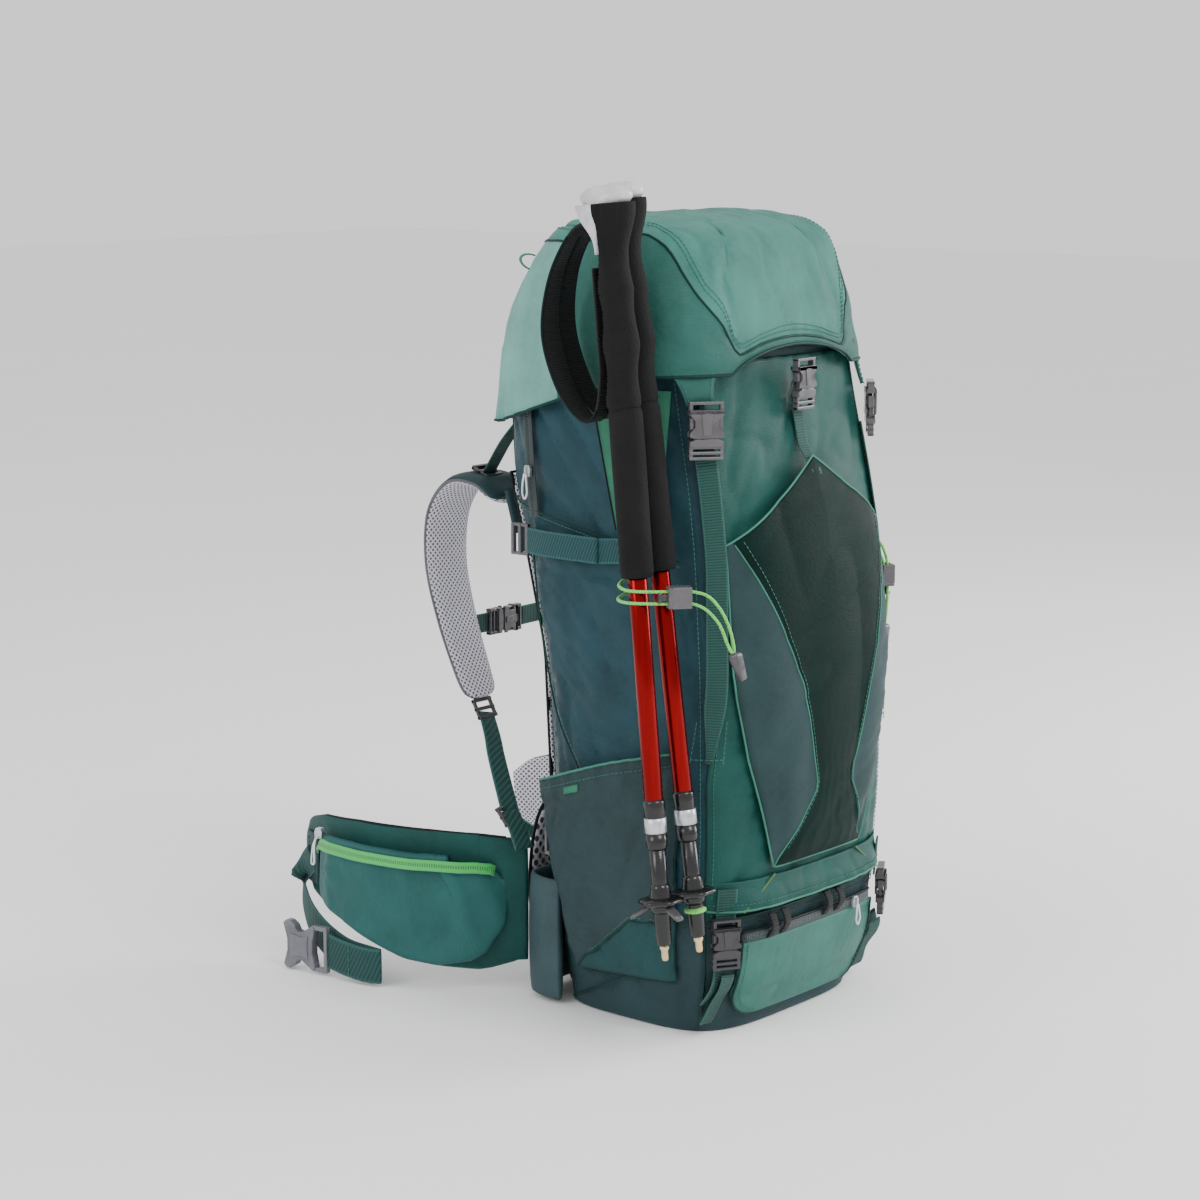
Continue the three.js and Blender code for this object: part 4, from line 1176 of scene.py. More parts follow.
def side_seam_height(y):
    """How high the seam across a side pocket is, between its stretch cloth and its foot."""
    return min(46 + 0.78 * max(58 - y, 0), 112)


def side_pockets():
    """Each side pocket with its bound mouth, its seams, its plain label and the hook bar beside it."""
    for name, side in SIDES.items():
        rows = side_pocket_grid(side)

        def pick(row, column):
            point = rows[row][column]
            return 1 if point[2] < side_seam_height(point[1]) else 0

        cloths = ["side_pocket", "side_low"]
        skin = cloth_sheet(f"side_pocket_skin_{name}", rows, "bag", cloths, "slate_fabric", 2.4, pick=pick)
        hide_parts(f"side_pocket_{name}")
        bag_seam(f"side_pocket_binding_{name}", [Vector(p) for p in rows[-1]], 1.3, "edge")
        middle = []
        for column in range(SIDE_COLUMNS):
            line = rows[:, column]
            row = int(np.argmin([abs(p[2] - side_seam_height(p[1])) for p in line]))
            middle.append(Vector(line[row]) + outward(line[row]) * 0.2)
        middle = spline(middle[::5], 60)
        bag_seam(f"side_pocket_seam_{name}", middle, 1.0)
        bag_seam(f"side_pocket_piping_{name}", sewn_edge(rows), 1.0)
        rim = [lifted(Vector(p), 0.6) for p in rows[SIDE_ROWS - 4]]
        above_seam = [p + Vector((0, 0, 4)) for p in middle]
        stitches(f"side_pocket_stitches_{name}", [rim, above_seam], "bag")
        mark = [lifted(Vector(p), 1.0) for p in rows[SIDE_ROWS - 6][37:44]]
        tab = [[p + Vector((0, 0, dz)) for p in mark] for dz in (-4, -1.5, 1, 3.5)]
        cloth_sheet(f"plain_label_{name}", tab, "bag", ["trim_green"], "lid_fabric", 1.0)
        low_seam = [on_side(side, y, 16 + 0.5 * (60 - y), 0.8) for y in range(-4, 100, 5)]
        bag_seam(f"base_side_seam_{name}", low_seam, 0.9)
        hook = placed(on_side(side, 86, 168, 7), pi / 2 * side)
        bars = [rect(-7, 7, -16, -12), rect(-7, 7, 12, 16), rect(-7, -4, -14, 14), rect(4, 7, -14, 14)]
        solids(f"hook_bar_{name}", [(bar, -2, 2) for bar in bars], hook, "bag", "grey", "buckle_light")


# ---- Webbing on the bag ----
def strap_on_front(name, spots, width, lift, body_name, thick=2.0, key="strap", taper=1):
    """A strap down the front; over the last taper millimetres at its low end it narrows into its seam."""
    stations = []
    for x, z in spots:
        at = on_front(x, z, lift)
        out = outward(at)
        share = 0.35 + 0.65 * ease(z - spots[0][1], -1, taper)
        stations.append((at, (-out.y, out.x, 0), width * share, thick))
    return sweep(name, stations, body_name, key, "webbing")


def bag_webbing():
    """The lid straps, the compression straps and the bottom straps."""
    for name, side in SIDES.items():
        spots = [(side * strap_x(z), z) for z in range(270, 573, 8)]
        strap = strap_on_front(f"lid_strap_web_{name}", spots, 21, 2.4, "bag", taper=60)
        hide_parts(f"lid_strap_{name}")
        sewn = [[on_front(x + dx, z, 3.4) for x, z in spots[:6]] for dx in (-9, 9)]
        sewn.append([on_front(spots[0][0] + dx, 274, 3.4) for dx in (-9, 0, 9)])
        stitches(f"lid_strap_stitches_{name}", sewn, "bag")
        band = sweep(f"compression_web_{name}", [
            (on_side(side, y, 461, 4.4), (0, 0, 1), 25, 2.2) for y in range(18, 129, 5)
        ], "bag", "side_strap", "webbing")
        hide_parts(f"compression_strap_{name}")
        anchor = [(on_side(side, y, 461 + 0.1 * (18 - y), 3.2), (0, 0, 1), 24, 1.8)
                  for y in range(-30, 30, 5)]
        sweep(f"compression_anchor_{name}", anchor, "bag", "side_strap", "webbing")
        place = placed(on_side(side, 120, 461, 8), pi / 2 * side)
        ladder(f"compression_slider_{name}", place, 27, "bag", True)
        strip = [(on_front(side * 121, z, 3.0 + 5 * sin(pi * (z - 34) / 36)), (1, 0, 0), 20, 2)
                 for z in range(34, 71, 4)]
        sweep(f"bottom_web_{name}", strip, f"bottom_clip_{name}", "strap", "webbing")
        tail = [(on_front(side * 116, z, 9 + 2 * sin(z / 7)), (1, 0, 0), 19, 1.8)
                for z in range(12, 68, 4)]
        sweep(f"bottom_tail_{name}", tail, f"bottom_clip_{name}", "strap", "webbing")
        spots = [(side * 121, z) for z in range(112, 150, 6)]
        strap_on_front(f"bottom_anchor_{name}", spots, 20, 3.2, "bag")


def ladder(name, place, width, body_name, lying=False, key="grey"):
    """A ladder-lock slider: a frame with two bars."""
    w = width / 2 + 2
    bars = [rect(-w, w, z - 1.8, z + 1.8) for z in (-9, 0, 9)]
    rails = [rect(-w, 3 - w, -10.8, 10.8), rect(w - 3, w, -10.8, 10.8)]
    prisms = [(b, -2.4, 2.4) for b in bars] + [(r, -1.8, 1.8) for r in rails]
    spin = Matrix.Rotation(pi / 2, 4, "Y") if lying else Matrix.Identity(4)
    return solids(name, prisms, place @ spin, body_name, key, "buckle_light")


# ---- Side-release buckles: X across the webbing, -Y out, Z towards the socket ----
def socket_half(name, web, place, body_name, key, slot):
    """The half of a buckle that takes the prongs, for webbing of this width."""
    w = (web + 7.5) / 2
    tall = web * 1.04
    shell = mirrored([
        (w * 0.6, 0), (w, tall * 0.05), (w, tall * 0.2), (w * 0.7, tall * 0.4), (w * 0.7, tall * 0.62),
        (w, tall * 0.84), (w, tall), (0, tall),
    ])
    rib = mirrored([(0, tall * 0.1), (w * 0.22, tall * 0.12), (w * 0.34, tall * 0.86), (0, tall * 0.9)])
    prisms = [
        (shell, -5.5, -3.4), (shell, 3.4, 5.5), (rib, -6.4, -5), (rect(-w, w, tall - 4, tall), -5.5, 5.5),
        (rect(-w, w, tall + 5, tall + 7.6), -3.5, 3.5),
    ]
    for s in (-1, 1):
        prisms.append((rect_beside(s, w - 3.4, w, tall - 1, tall + 7), -3.2, 3.2))
        prisms.append((rect_beside(s, w * 0.52, w * 0.7, tall * 0.38, tall * 0.64), -4, 4))
    return solids(name, prisms, place, body_name, key, slot, 0.9)


def tongue_half(name, web, place, body_name, key, slot):
    """The half of a buckle with the two prongs."""
    w = (web + 7.5) / 2
    tall = web * 1.04
    prisms = [(mirrored([(0, -0.5), (w * 0.62, -0.5), (w, -3), (w * 0.96, -8), (0, -8)]), -4.6, 4.6)]
    prisms += [(rect(-w, w, z - 1.5, z + 1.5), -3.4, 2.6) for z in (-8.4, -13.6, -18.6)]
    for s in (-1, 1):
        prisms.append((rect_beside(s, w - 3.6, w, -20.1, -5), -3, 3))
        prisms.append((rect_beside(s, w * 0.72, w * 0.96, tall * 0.3, tall * 0.74), -3.1, 3.1))
        prisms.append((rect_beside(s, w * 0.5, w * 0.72, -2, tall * 0.66), -2.2, 2.2))
    return solids(name, prisms, place, body_name, key, slot, 0.9)


def buckle(stem, ending, web, place, body_name, key, slot):
    """Both halves of a buckle for webbing of this width. The tongue rides its own body, the clip."""
    clip = f"{stem}_clip{ending}"
    top = socket_half(f"{stem}_socket{ending}", web, place, body_name, key, slot)
    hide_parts(f"{stem}_buckle{ending}")
    low = tongue_half(f"{stem}_tongue{ending}", web, place, clip, key, slot)
    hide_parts(clip)


def buckles():
    """The lid, bottom and front buckles."""
    for name, side in SIDES.items():
        place = Matrix.Translation((0, -1, 0)) @ front_place(side * 123.5, 573, 12.5)
        buckle("lid", f"_{name}", 25, place, "bag", "grey", "buckle_light")
        place = front_place(side * 121, 92, 12)
        buckle("bottom", f"_{name}", 20, place, "bag", "dark_plastic", "buckle_dark")
    buckle("front", "", 20, front_place(0, 610, 13), "bag", "grey", "buckle_light")


# ---- Back panel and harness ----
def padded(piece, fill):
    """Hands a piece back as it is."""
    return piece


def puffed(piece, cap, sewn, pressure=4.0):
    """Swells a padded piece by cloth simulation. No point moves more than cap, and its sewn lines stay.

    sewn(t, u) says whether a point is on a seam, at t along the piece and u across it.
    """
    scene = bpy.context.scene
    weave = [point.vector.copy() for point in piece.data.attributes["weave"].data]
    run = max(w[1] for w in weave)
    held = [i for i, w in enumerate(weave) if sewn(w[1] / run, w[2])]
    group = piece.vertex_groups.new(name="sewn")
    group.add(held, 1.0, "REPLACE")
    cloth_settings = piece.modifiers.new("swell", "CLOTH")
    cloth_settings.settings.quality = 4
    cloth_settings.settings.use_pressure = True
    cloth_settings.settings.uniform_pressure_force = pressure
    cloth_settings.settings.effector_weights.gravity = 0
    cloth_settings.settings.vertex_group_mass = group.name
    cloth_settings.point_cache.frame_start = 1
    cloth_settings.point_cache.frame_end = 20
    for moment in range(1, 21):
        scene.frame_set(moment)
    swollen = piece.evaluated_get(bpy.context.evaluated_depsgraph_get()).data
    places = [vertex.co.copy() for vertex in swollen.vertices]
    for vertex, place in zip(piece.data.vertices, places):
        step = place - vertex.co
        vertex.co += step * min(1, cap * MM / max(step.length, 1e-9))
    piece.modifiers.clear()
    piece.vertex_groups.clear()
    scene.frame_set(1)
    return piece


def groove(u, seam):
    """How deep a pad is drawn in at u across it, from 0 to 1, by a seam along each side of its middle."""
    return exp(-((abs(u) - seam) / 0.05) ** 2)


def back_at(z):
    return section(z)[1]


# Seams of the pads: share of the half width, and for the back pad's cross seams the share of its length.
BACK_SEAM, LUMBAR_SEAM, STRAP_SEAM, FIN_SEAM = 0.36, 0.5, 0.84, 0.8
CROSS_SEAMS = (0.25, 0.5, 0.75)


def back_and_lumbar():
    """The mesh back pad and the lumbar pad below it."""
    def channels(t, u, v):
        """Two upright channels and three cross channels, sewn down into the pad."""
        cross = sum(exp(-((t - k) / 0.018) ** 2) for k in CROSS_SEAMS)
        crown = 2.2 * (1 - u * u)
        return crown - 4.2 * min(groove(u, BACK_SEAM) + cross * (abs(u) > BACK_SEAM), 1)

    def sewn(t, u):
        across = any(abs(t - k) < 0.012 for k in (0, *CROSS_SEAMS, 1))
        return abs(abs(u) - BACK_SEAM) < 0.04 or abs(u) > 0.97 or across

    stations = []
    for z in np.linspace(206, 541, 90):
        width = 200 - 60 * ease(z, 500, 541) - 16 * ease(240 - z, 0, 34)
        stations.append((Vector((0, back_at(z) + 8.6, z)), (1, 0, 0), width, 9))
    pad = sweep("back_pad_mesh", stations, "bag", ["spacer"], "spacer_mesh", 5, 60, channels)
    puffed(pad, 4, sewn)
    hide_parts("back_pad")
    rim = [Vector((-99, back_at(z) + 9, z)) for z in range(212, 520, 8)]
    rim += [Vector((99, back_at(z) + 9, z)) for z in range(519, 211, -8)]
    bag_seam("back_pad_piping", rim, 2.0, "binding")

    def lumbar_relief(t, u, v):
        return 3.0 * (1 - u * u) * sin(pi * t) - 2.6 * groove(u, LUMBAR_SEAM)

    widths = spline([(150, 156, 28), (184, 160, 60), (190, 161, 112), (176, 158, 164), (130, 153, 200)], 60)
    stations = []
    for i, p in enumerate(widths):
        thick = 10 * sqrt(max(1 - abs(2 * i / 59 - 1) ** 12, 0.15))
        stations.append((Vector((0, p.y, p.z)), (1, 0, 0), p.x, thick))
    lumbar = sweep("lumbar_mesh", stations, "bag", ["honeycomb"], "spacer_mesh", 4, 56, lumbar_relief)
    puffed(lumbar, 5, lambda t, u: abs(abs(u) - LUMBAR_SEAM) < 0.04 or abs(u) > 0.97)
    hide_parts("lumbar_pad")
    for s in (-1, 1):
        line = [Vector((s * p.x / 2, p.y + 1, p.z)) for p in widths[::2]]
        bag_seam(f"lumbar_piping_{s + 1}", line, 2.0, "binding")
    hip_base()


def hip_base():
    """The hip wrap round the foot of the back, and the honeycomb piece above it."""
    half_plan = [(-139, 84), (-140, 104), (-130, 127), (-104, 132)]
    plan = spline(both_sides(half_plan, (0, 132)), 70)
    stations = [(Vector((p.x, p.y, 65)), (0, 0, 1), 121, 7) for p in plan]
    wing = sweep("hip_wrap", stations, "bag", ["wing"], "belt_fabric", 5, 32,
                 lambda t, u, v: 1.2 * (1 - u * u))
    spine = [(Vector((0, 131, z)), (1, 0, 0), 176, 26) for z in np.linspace(100, 183, 12)]
    middle = sweep("hip_base_upper", spine, "bag", ["honeycomb"], "belt_fabric", 6, 32)
    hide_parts("hip_base")
    padded(middle, 0.4)


# The middle line of the right shoulder strap, from the yoke down.
STRAP_PATH = [
    (72, 203, 486), (74, 226, 501), (78, 258, 500), (83, 281, 468),
    (88, 281, 415), (92, 263, 360), (94, 241, 310), (95, 226, 282),
]


def shoulder_straps():
    """The yoke, and each shoulder strap with its piping, its webbing and its adjuster."""
    yoke_stations = [(Vector((0, back_at(z) + 23, z)), (1, 0, 0), 196, 9) for z in np.linspace(455, 497, 14)]
    yoke = sweep("yoke_pad", yoke_stations, "harness", ["dark"], "dark_fabric", 5, 40)
    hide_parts("yoke")
    for name, side in SIDES.items():
        path = spline([(x * side, y, z) for x, y, z in STRAP_PATH], 90)
        stations = []
        for i, at in enumerate(path):
            t = i / 89
            end = sqrt(max(1 - abs(2 * t - 1) ** 24, 0.1))
            stations.append((at, (1, 0, 0), (66 - 22 * t * t) * end, 11 - 3 * t))

        def relief(t, u, v):
            return 1.6 * (1 - u ** 4) - 1.4 * groove(u, STRAP_SEAM)

        def pick(row, k):
            return 1 if k < 16 else 0

        strap = sweep(f"shoulder_strap_mesh_{name}", stations, "harness", ["spacer", "dark"],
                      "spacer_mesh", 3.4, 32, relief, pick)
        puffed(strap, 2.5, lambda t, u: abs(abs(u) - STRAP_SEAM) < 0.05 or t < 0.03 or t > 0.97)
        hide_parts(f"shoulder_strap_{name}")
        for s in (-1, 1):
            line = [at + Vector((s * (w / 2 - 0.6), 0, 0)) for at, _, w, _ in stations[2:-2:2]]
            tube(f"shoulder_piping_{name}_{s + 1}", line, 1.7, "harness", "spacer")
        outer = []
        for at, nxt in zip(path[30:-8], path[31:-7]):
            along = unit(nxt - at)
            outer.append((at + Vector((0, -along.z, along.y)) * 8.0, (1, 0, 0), 20, 1.8))
        sweep(f"shoulder_web_{name}", outer, "harness", "strap", "webbing")
        load_lifter(name, side)
        tab = placed(Vector((side * 96, 222, 272)), 0.0, Matrix.Rotation(-0.5, 4, "X"))
        ladder(f"strap_adjuster_{name}", tab, 22, "harness", key="dark_plastic")


def load_lifter(name, side):
    """The short strap from the top of the bag's back to the crown of the shoulder strap."""
    low = Vector((side * 74, 236, 507))
    high = Vector((side * 72, 181, 575))
    path = spline([high + Vector((0, -2, 12)), high, high.lerp(low, 0.5) + Vector((0, 2, 2)), low,
                   low + Vector((0, 12, -4))], 30)
    strap = sweep(f"load_lifter_{name}", [(p, (1, 0, 0), 19, 1.8) for p in path], None, "strap", "webbing")
    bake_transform(strap)
    place = placed(low + Vector((0, 0, 3)), 0.0, Matrix.Rotation(-1.15, 4, "X"))
    ladder(f"load_slider_{name}", place, 21, "harness", key="dark_plastic")


def lower_webbing():
    """The webbing from each shoulder strap's foot down to its slider and anchor low on the back."""
    for name, side in SIDES.items():
        line = [(96, 220, 268), (103, 205, 246), (112, 191, 226), (130, 158, 182)]
        path = spline([(side * x, y, z) for x, y, z in line], 40)
        stations = [(p, (1, 0.35 * side * i / 39, 0), 20, 2.2) for i, p in enumerate(path)]
        web = sweep(f"lower_web_{name}", stations, None, "lower_strap", "webbing")
        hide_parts(f"lower_webbing_{name}")
        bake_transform(web)
        low = path[-1]
        anchor = spline([low, low + Vector((side * 4, -14, -16)), low + Vector((side * 6, -24, -34))], 10)
        stations = [(p, (1, 0.35 * side, 0), 20, 2.2) for p in anchor]
        sweep(f"lower_anchor_{name}", stations, "bag", "lower_strap", "webbing")
        place = placed(low + Vector((side * 2, 2, -4)), -0.3 * side, Matrix.Rotation(-0.6, 4, "X"))
        ladder(f"lower_slider_{name}", place, 22, "bag", key="dark_plastic")


def sternum():
    """The chest strap and its buckle."""
    chest = Vector((-16, 271, 346))
    place = Matrix.Translation(chest) @ Matrix.Rotation(pi / 2, 4, "Y")
    buckle("sternum", "", 20, place, "sternum", "dark_plastic", "buckle_dark")
    for name, low, high, rider in (("left", -84, -36, "sternum_clip"), ("right", 15, 84, "sternum")):
        path = [(Vector((x, chest.y + 1.4 * sin((x - low) / (high - low) * pi), chest.z)), (0, 0, 1), 20, 2)
                for x in np.linspace(low, high, 16)]
        sweep(f"sternum_web_{name}", path, rider, "strap", "webbing")


def haul_loop():
    """The hanging loop, whose webbing is folded narrow and thick at its middle."""
    half_arc = [(-34, 200, 549), (-34, 211, 541), (-27, 219, 524)]
    stations = []
    for i, p in enumerate(spline(both_sides(half_arc, (0, 222, 512)), 60)):
        folded = sin(pi * i / 59)
        stations.append((p, (0, 1, 0.45), 13 - 4 * folded, 3 + 3.2 * folded))
    loop = sweep("haul_loop_web", stations, "haul_loop", "strap", "webbing", 4)
    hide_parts("haul_loop")


# ---- Hip belt ----
def fin_point(side, degrees, radius, z):
    """A point round the hip fins' arc."""
    angle = radians(degrees)
    return Vector((-side * (FIN_X + radius * cos(angle)), FIN_Y + radius * sin(angle), z))


# Outlines of the fin and of its pocket: share of the way to the tip, low edge and high edge.
FIN_SHAPE = np.array([
    (0, 30, 156), (0.12, 21, 160), (0.3, 23, 162), (0.45, 33, 162),
    (0.6, 47, 161), (0.8, 60, 156), (0.93, 68, 146), (1, 80, 130),
], float)
POCKET_SHAPE = np.array([
    (0.05, 108, 130), (0.08, 86, 137), (0.13, 56, 140), (0.19, 33, 141), (0.26, 29, 142), (0.34, 32, 142),
    (0.47, 45, 143), (0.6, 59, 143), (0.72, 68, 142), (0.77, 74, 138), (0.8, 86, 128),
], float)
# How far the pocket stands off the fin: share of the way to the tip, and depth.
POCKET_DEPTH = np.array([
    (0.05, 2), (0.1, 12), (0.18, 21), (0.34, 25), (0.52, 25), (0.68, 20), (0.76, 12), (0.8, 2),
], float)


def mixed(table, at, column):
    return np.interp(at, table[:, 0], table[:, column])


def hip_belt():
    """Each hip fin, with its piping, its pocket and its end of the belt."""
    for name, side in SIDES.items():
        rider = f"hip_fin_{name}"

        def arc(at):
            return FIN_ROOT + (FIN_TIP - FIN_ROOT) * at

        stations = []
        for at in np.linspace(-0.045, 1, 70):
            low, high = mixed(FIN_SHAPE, max(at, 0), 1), mixed(FIN_SHAPE, max(at, 0), 2)
            tip = sqrt(max(1 - ease(at, 0.9, 1.02) ** 2, 0.12))
            middle = fin_point(side, arc(at), FIN_R, (low + high) / 2)
            stations.append((middle, (0, 0, 1), high - low, 12 * tip + 1))

        def relief(t, u, v):
            return 1.8 * (1 - u ** 4) - 1.8 * groove(u, FIN_SEAM)

        def pick(row, k):
            return 1 if (k < 18) == (side > 0) else 0

        fin = sweep(f"hip_fin_pad_{name}", stations, None, ["belt", "spacer"], "belt_fabric",
                    4, 36, relief, pick)
        puffed(fin, 3, lambda t, u: abs(abs(u) - FIN_SEAM) < 0.05 or t < 0.08 or t > 0.98)
        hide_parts(f"hip_fin_{name}")
        root = fin_point(side, arc(-0.045), FIN_R, 105) * MM
        further = fin_point(side, arc(0.06), FIN_R, 105) * MM
        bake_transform(fin)
        for column, offset, key in ((1, 1.2, "edge"), (2, -1.2, "binding")):
            line = [fin_point(side, arc(at), FIN_R + 1, mixed(FIN_SHAPE, at, column) + offset)
                    for at in np.linspace(0.03, 1, 40)]
            tube(f"fin_piping_{name}_{column}", line, 2.0, rider, key)
        hip_pocket(name, side, rider, arc)
        belt_webbing(name, side)


def hip_pocket(name, side, rider, arc):
    """The zipped pocket on a fin, the patch at the fin's tip, and the zip's slider and puller."""
    face = FIN_R + 7.5
    stations = []
    for at in np.linspace(0.05, 0.8, 64):
        low, high = mixed(POCKET_SHAPE, at, 1), mixed(POCKET_SHAPE, at, 2)
        bulge = mixed(POCKET_DEPTH, at, 1)
        middle = fin_point(side, arc(at), face + bulge / 2, (low + high) / 2)
        stations.append((middle, (0, 0, 1), high - low, bulge))

    def relief(t, u, v):
        return -3.2 * fold(Vector((t * 160, u * 45, v)), (0.6, 1, 0), 19, 4, side) * (1 - abs(u) ** 4)

    pocket = sweep(f"hip_pocket_pad_{name}", stations, rider, ["hip_pocket"], "pocket_fabric",
                   3.2, 44, relief)
    puffed(pocket, 5, lambda t, u: abs(u) > 0.95 or t < 0.02 or t > 0.98)
    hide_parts(f"hip_pocket_{name}")
    tape = []
    for at in np.linspace(0.07, 0.79, 54):
        bulge = mixed(POCKET_DEPTH, at, 1)
        z = mixed(POCKET_SHAPE, at, 2) - 9
        spot = fin_point(side, arc(at), face + bulge * 0.92 + 0.8, z)
        outside = unit(Vector((spot.x + side * FIN_X, spot.y - FIN_Y, 0)))
        tape.append((spot, Vector((0, 0, 1)) - outside * 0.5, 11, 1.8))
    sweep(f"hip_zip_{name}", tape, rider, "zip", "pocket_fabric")
    hem = [fin_point(side, arc(at), face + 1.5, mixed(POCKET_SHAPE, at, 1) + 1)
           for at in np.linspace(0.19, 0.78, 50)]
    tube(f"hip_pocket_edge_{name}", hem, 1.3, rider, "edge")
    patch = [(fin_point(side, arc(at), FIN_R + 7.8, 106), (0, 0, 1), 54, 2.2)
             for at in np.linspace(0.835, 0.93, 12)]
    sweep(f"fin_tip_patch_{name}", patch, rider, "dark", "belt_fabric", 5)
    sewn = [[fin_point(side, arc(at), FIN_R + 9.2, z) for z in range(82, 131, 4)] for at in (0.845, 0.92)]
    stitches(f"fin_tip_stitches_{name}", sewn, rider)
    spot = fin_point(side, arc(0.76), FIN_R + 18, 141)
    slider_body = f"zip_slider_{name}"
    outline = [(-4, -5), (4, -5), (4.8, 2), (3, 6), (-3, 6), (-4.8, 2)]
    place = Matrix.Translation(spot) @ Matrix.Rotation(radians(-100) * side, 4, "Z")
    slider = solids(f"hip_zip_slider_{name}", [(outline, -4, 3)], place, slider_body, "zinc", "zinc")
    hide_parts(slider_body)
    puller = [(5, 0, 0), (11, -3, -8), (13, -5, -24), (11, 1, -25), (9, 1, -10), (5, 1, -2)]
    loop = [spot + Vector((0, 0, -3)) + Vector((side * x, y, z)) for x, y, z in puller]
    tube(f"hip_zip_puller_{name}", spline(loop, 30), 1.1, slider_body, "cap")


# The near half of the hip buckle: a waisted plate with flared ears, and the frame that holds the webbing.
BELT_PLATE = [
    (mirrored([
        (6, -1), (20, -4), (24, -2), (18, 8), (14.5, 14), (15.5, 19),
        (21, 22), (25, 28), (25.5, 33), (22, 37), (16, 35), (6, 32),
    ]), -5, 4.6),
    (mirrored([(4, 5), (12, 4), (9.5, 13), (12, 26), (4, 27)]), -6.4, -4.6),
    (rect(-24, -19.5, -16, 0), -3.6, 3.6), (rect(19.5, 24, -16, 0), -3.6, 3.6),
    (rect(-24, 24, -18.5, -14.5), -3.2, 3.2),
]


# The belt webbing's run: degrees round the fin's arc, height, and how far out from BELT_R.
BELT_RUN = [
    (156, 106, -1), (151, 88, 1), (153, 64, 4), (163, 40, 7), (176, 24, 8),
    (186, 21, 10), (190, 21, 14), (186, 21, 18), (180, 23, 19), (173, 26, 19),
]


def belt_webbing(name, side):
    """One end of the belt, folded back through its half of the buckle."""
    rider = f"belt_{name}"
    stations = []
    for turn, z, out in spline(BELT_RUN, 80):
        width = 30 + 6 * ease(-z, -60, -36)
        stations.append((fin_point(side, turn, BELT_R + out, z), (0, 0, 1), width, 2.4))
    web = sweep(f"belt_web_{name}", stations, rider, "belt_strap", "webbing")
    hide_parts(f"belt_webbing_{name}")
    facing = radians(-84)
    lean = Matrix.Rotation(facing, 4, "Z")
    heading = Vector((-cos(facing), -sin(facing), 0))
    mirror = Matrix.Identity(4) if side < 0 else Matrix.Scale(-1, 4, (1, 0, 0))
    up = -pi / 2 if side < 0 else pi / 2
    base = fin_point(-1, 173, BELT_R + 19, 26) + heading * (18 if side < 0 else 44)
    place = mirror @ Matrix.Translation(base) @ lean @ Matrix.Rotation(up, 4, "Y")
    sewn = [fin_point(side, 181, BELT_R + 20.6, z) for z in range(7, 40, 4)]
    stitches(f"belt_stitches_{name}", [sewn], rider)
    if side < 0:
        piece = solids("belt_tongue", BELT_PLATE, place, rider, "belt_plastic", "buckle_light", 1.4)
        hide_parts("belt_clip")
    else:
        piece = socket_half("belt_socket", 38, place, rider, "belt_plastic", "buckle_light")
        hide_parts("belt_buckle")


# ---- Poles ----
def pole_place(name):
    """A pole's own axes: Z up its shaft from its tip."""
    tip, top = POLES[name]
    along = unit(top - tip)
    return Matrix.Translation(tip) @ Vector((0, 0, 1)).rotation_difference(along).to_matrix().to_4x4()


def poles():
    """Each pole from its tip up to its grip."""
    for name in POLES:
        place = pole_place(name)
        rider = f"pole_{name}"

        def part(suffix, profile, key, slot, **more):
            return lathe(f"{rider}_{suffix}", profile, place, rider, key, slot, **more)

        part("tip", [(0.6, 0), (2.6, 0.8), (3.2, 3), (3.2, 10), (4.4, 12), (4.4, 16)], "brass", "anodised")
        part("ferrule", [(5.4, 15), (7.2, 17), (7.6, 34), (8, 48), (7.6, 56)], "black_plastic", "grip_foam")
        part("lower_shaft", [(7, 54), (7.6, 66), (7.8, 72), (7.8, 118)], "carbon", "grip_foam")
        part("joint", [(8.2, 106), (9.8, 108), (10, 112), (10, 122)], "black_plastic", "grip_foam")
        part("joint_ring", [(9.6, 121.6), (10.2, 122), (10.2, 135.6), (9.6, 136)], "zinc", "zinc")
        part("joint_sleeve", [(9.4, 135), (10, 136), (10.2, 150), (9.2, 153)], "black_plastic", "grip_foam")
        shaft = part("red_shaft", [(8.2, 150), (9, 151), (9, 357), (8.4, 358)], "red", "anodised")
        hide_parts(f"{rider}_shaft")
        part("basket_hub", [(8, 46), (10.4, 50), (10.8, 60), (9, 70), (8, 74)], "black_plastic", "grip_foam")
        part("basket", [(8, 51), (11, 53), (19, 55.4), (20.4, 57.4), (19.6, 59.2), (11, 61), (8, 63)],
             "black_plastic", "grip_foam", wave=lambda a, h: 1.3 * cos(6 * a) * (54 < h < 61))
        if name == "far":
            part("ring", [(8, 38), (10.2, 39), (10.4, 41.4), (8, 43)], "elastic", "elastic")
        else:
            for turn in (2.4, 4.4):
                across = place.to_3x3() @ Vector((-sin(turn), cos(turn), 0))
                blade = []
                for k, r in enumerate(range(10, 31, 5)):
                    at = place @ Vector((cos(turn) * r, sin(turn) * r, 54 - 0.5 * (r - 10)))
                    blade.append((at, across, 11 - abs(k - 2) * 1.6, 3.4))
                sweep(f"{rider}_paddle_{int(turn * 10)}", blade, rider, "grey", "grip_foam", 3)
        grip(place, rider)


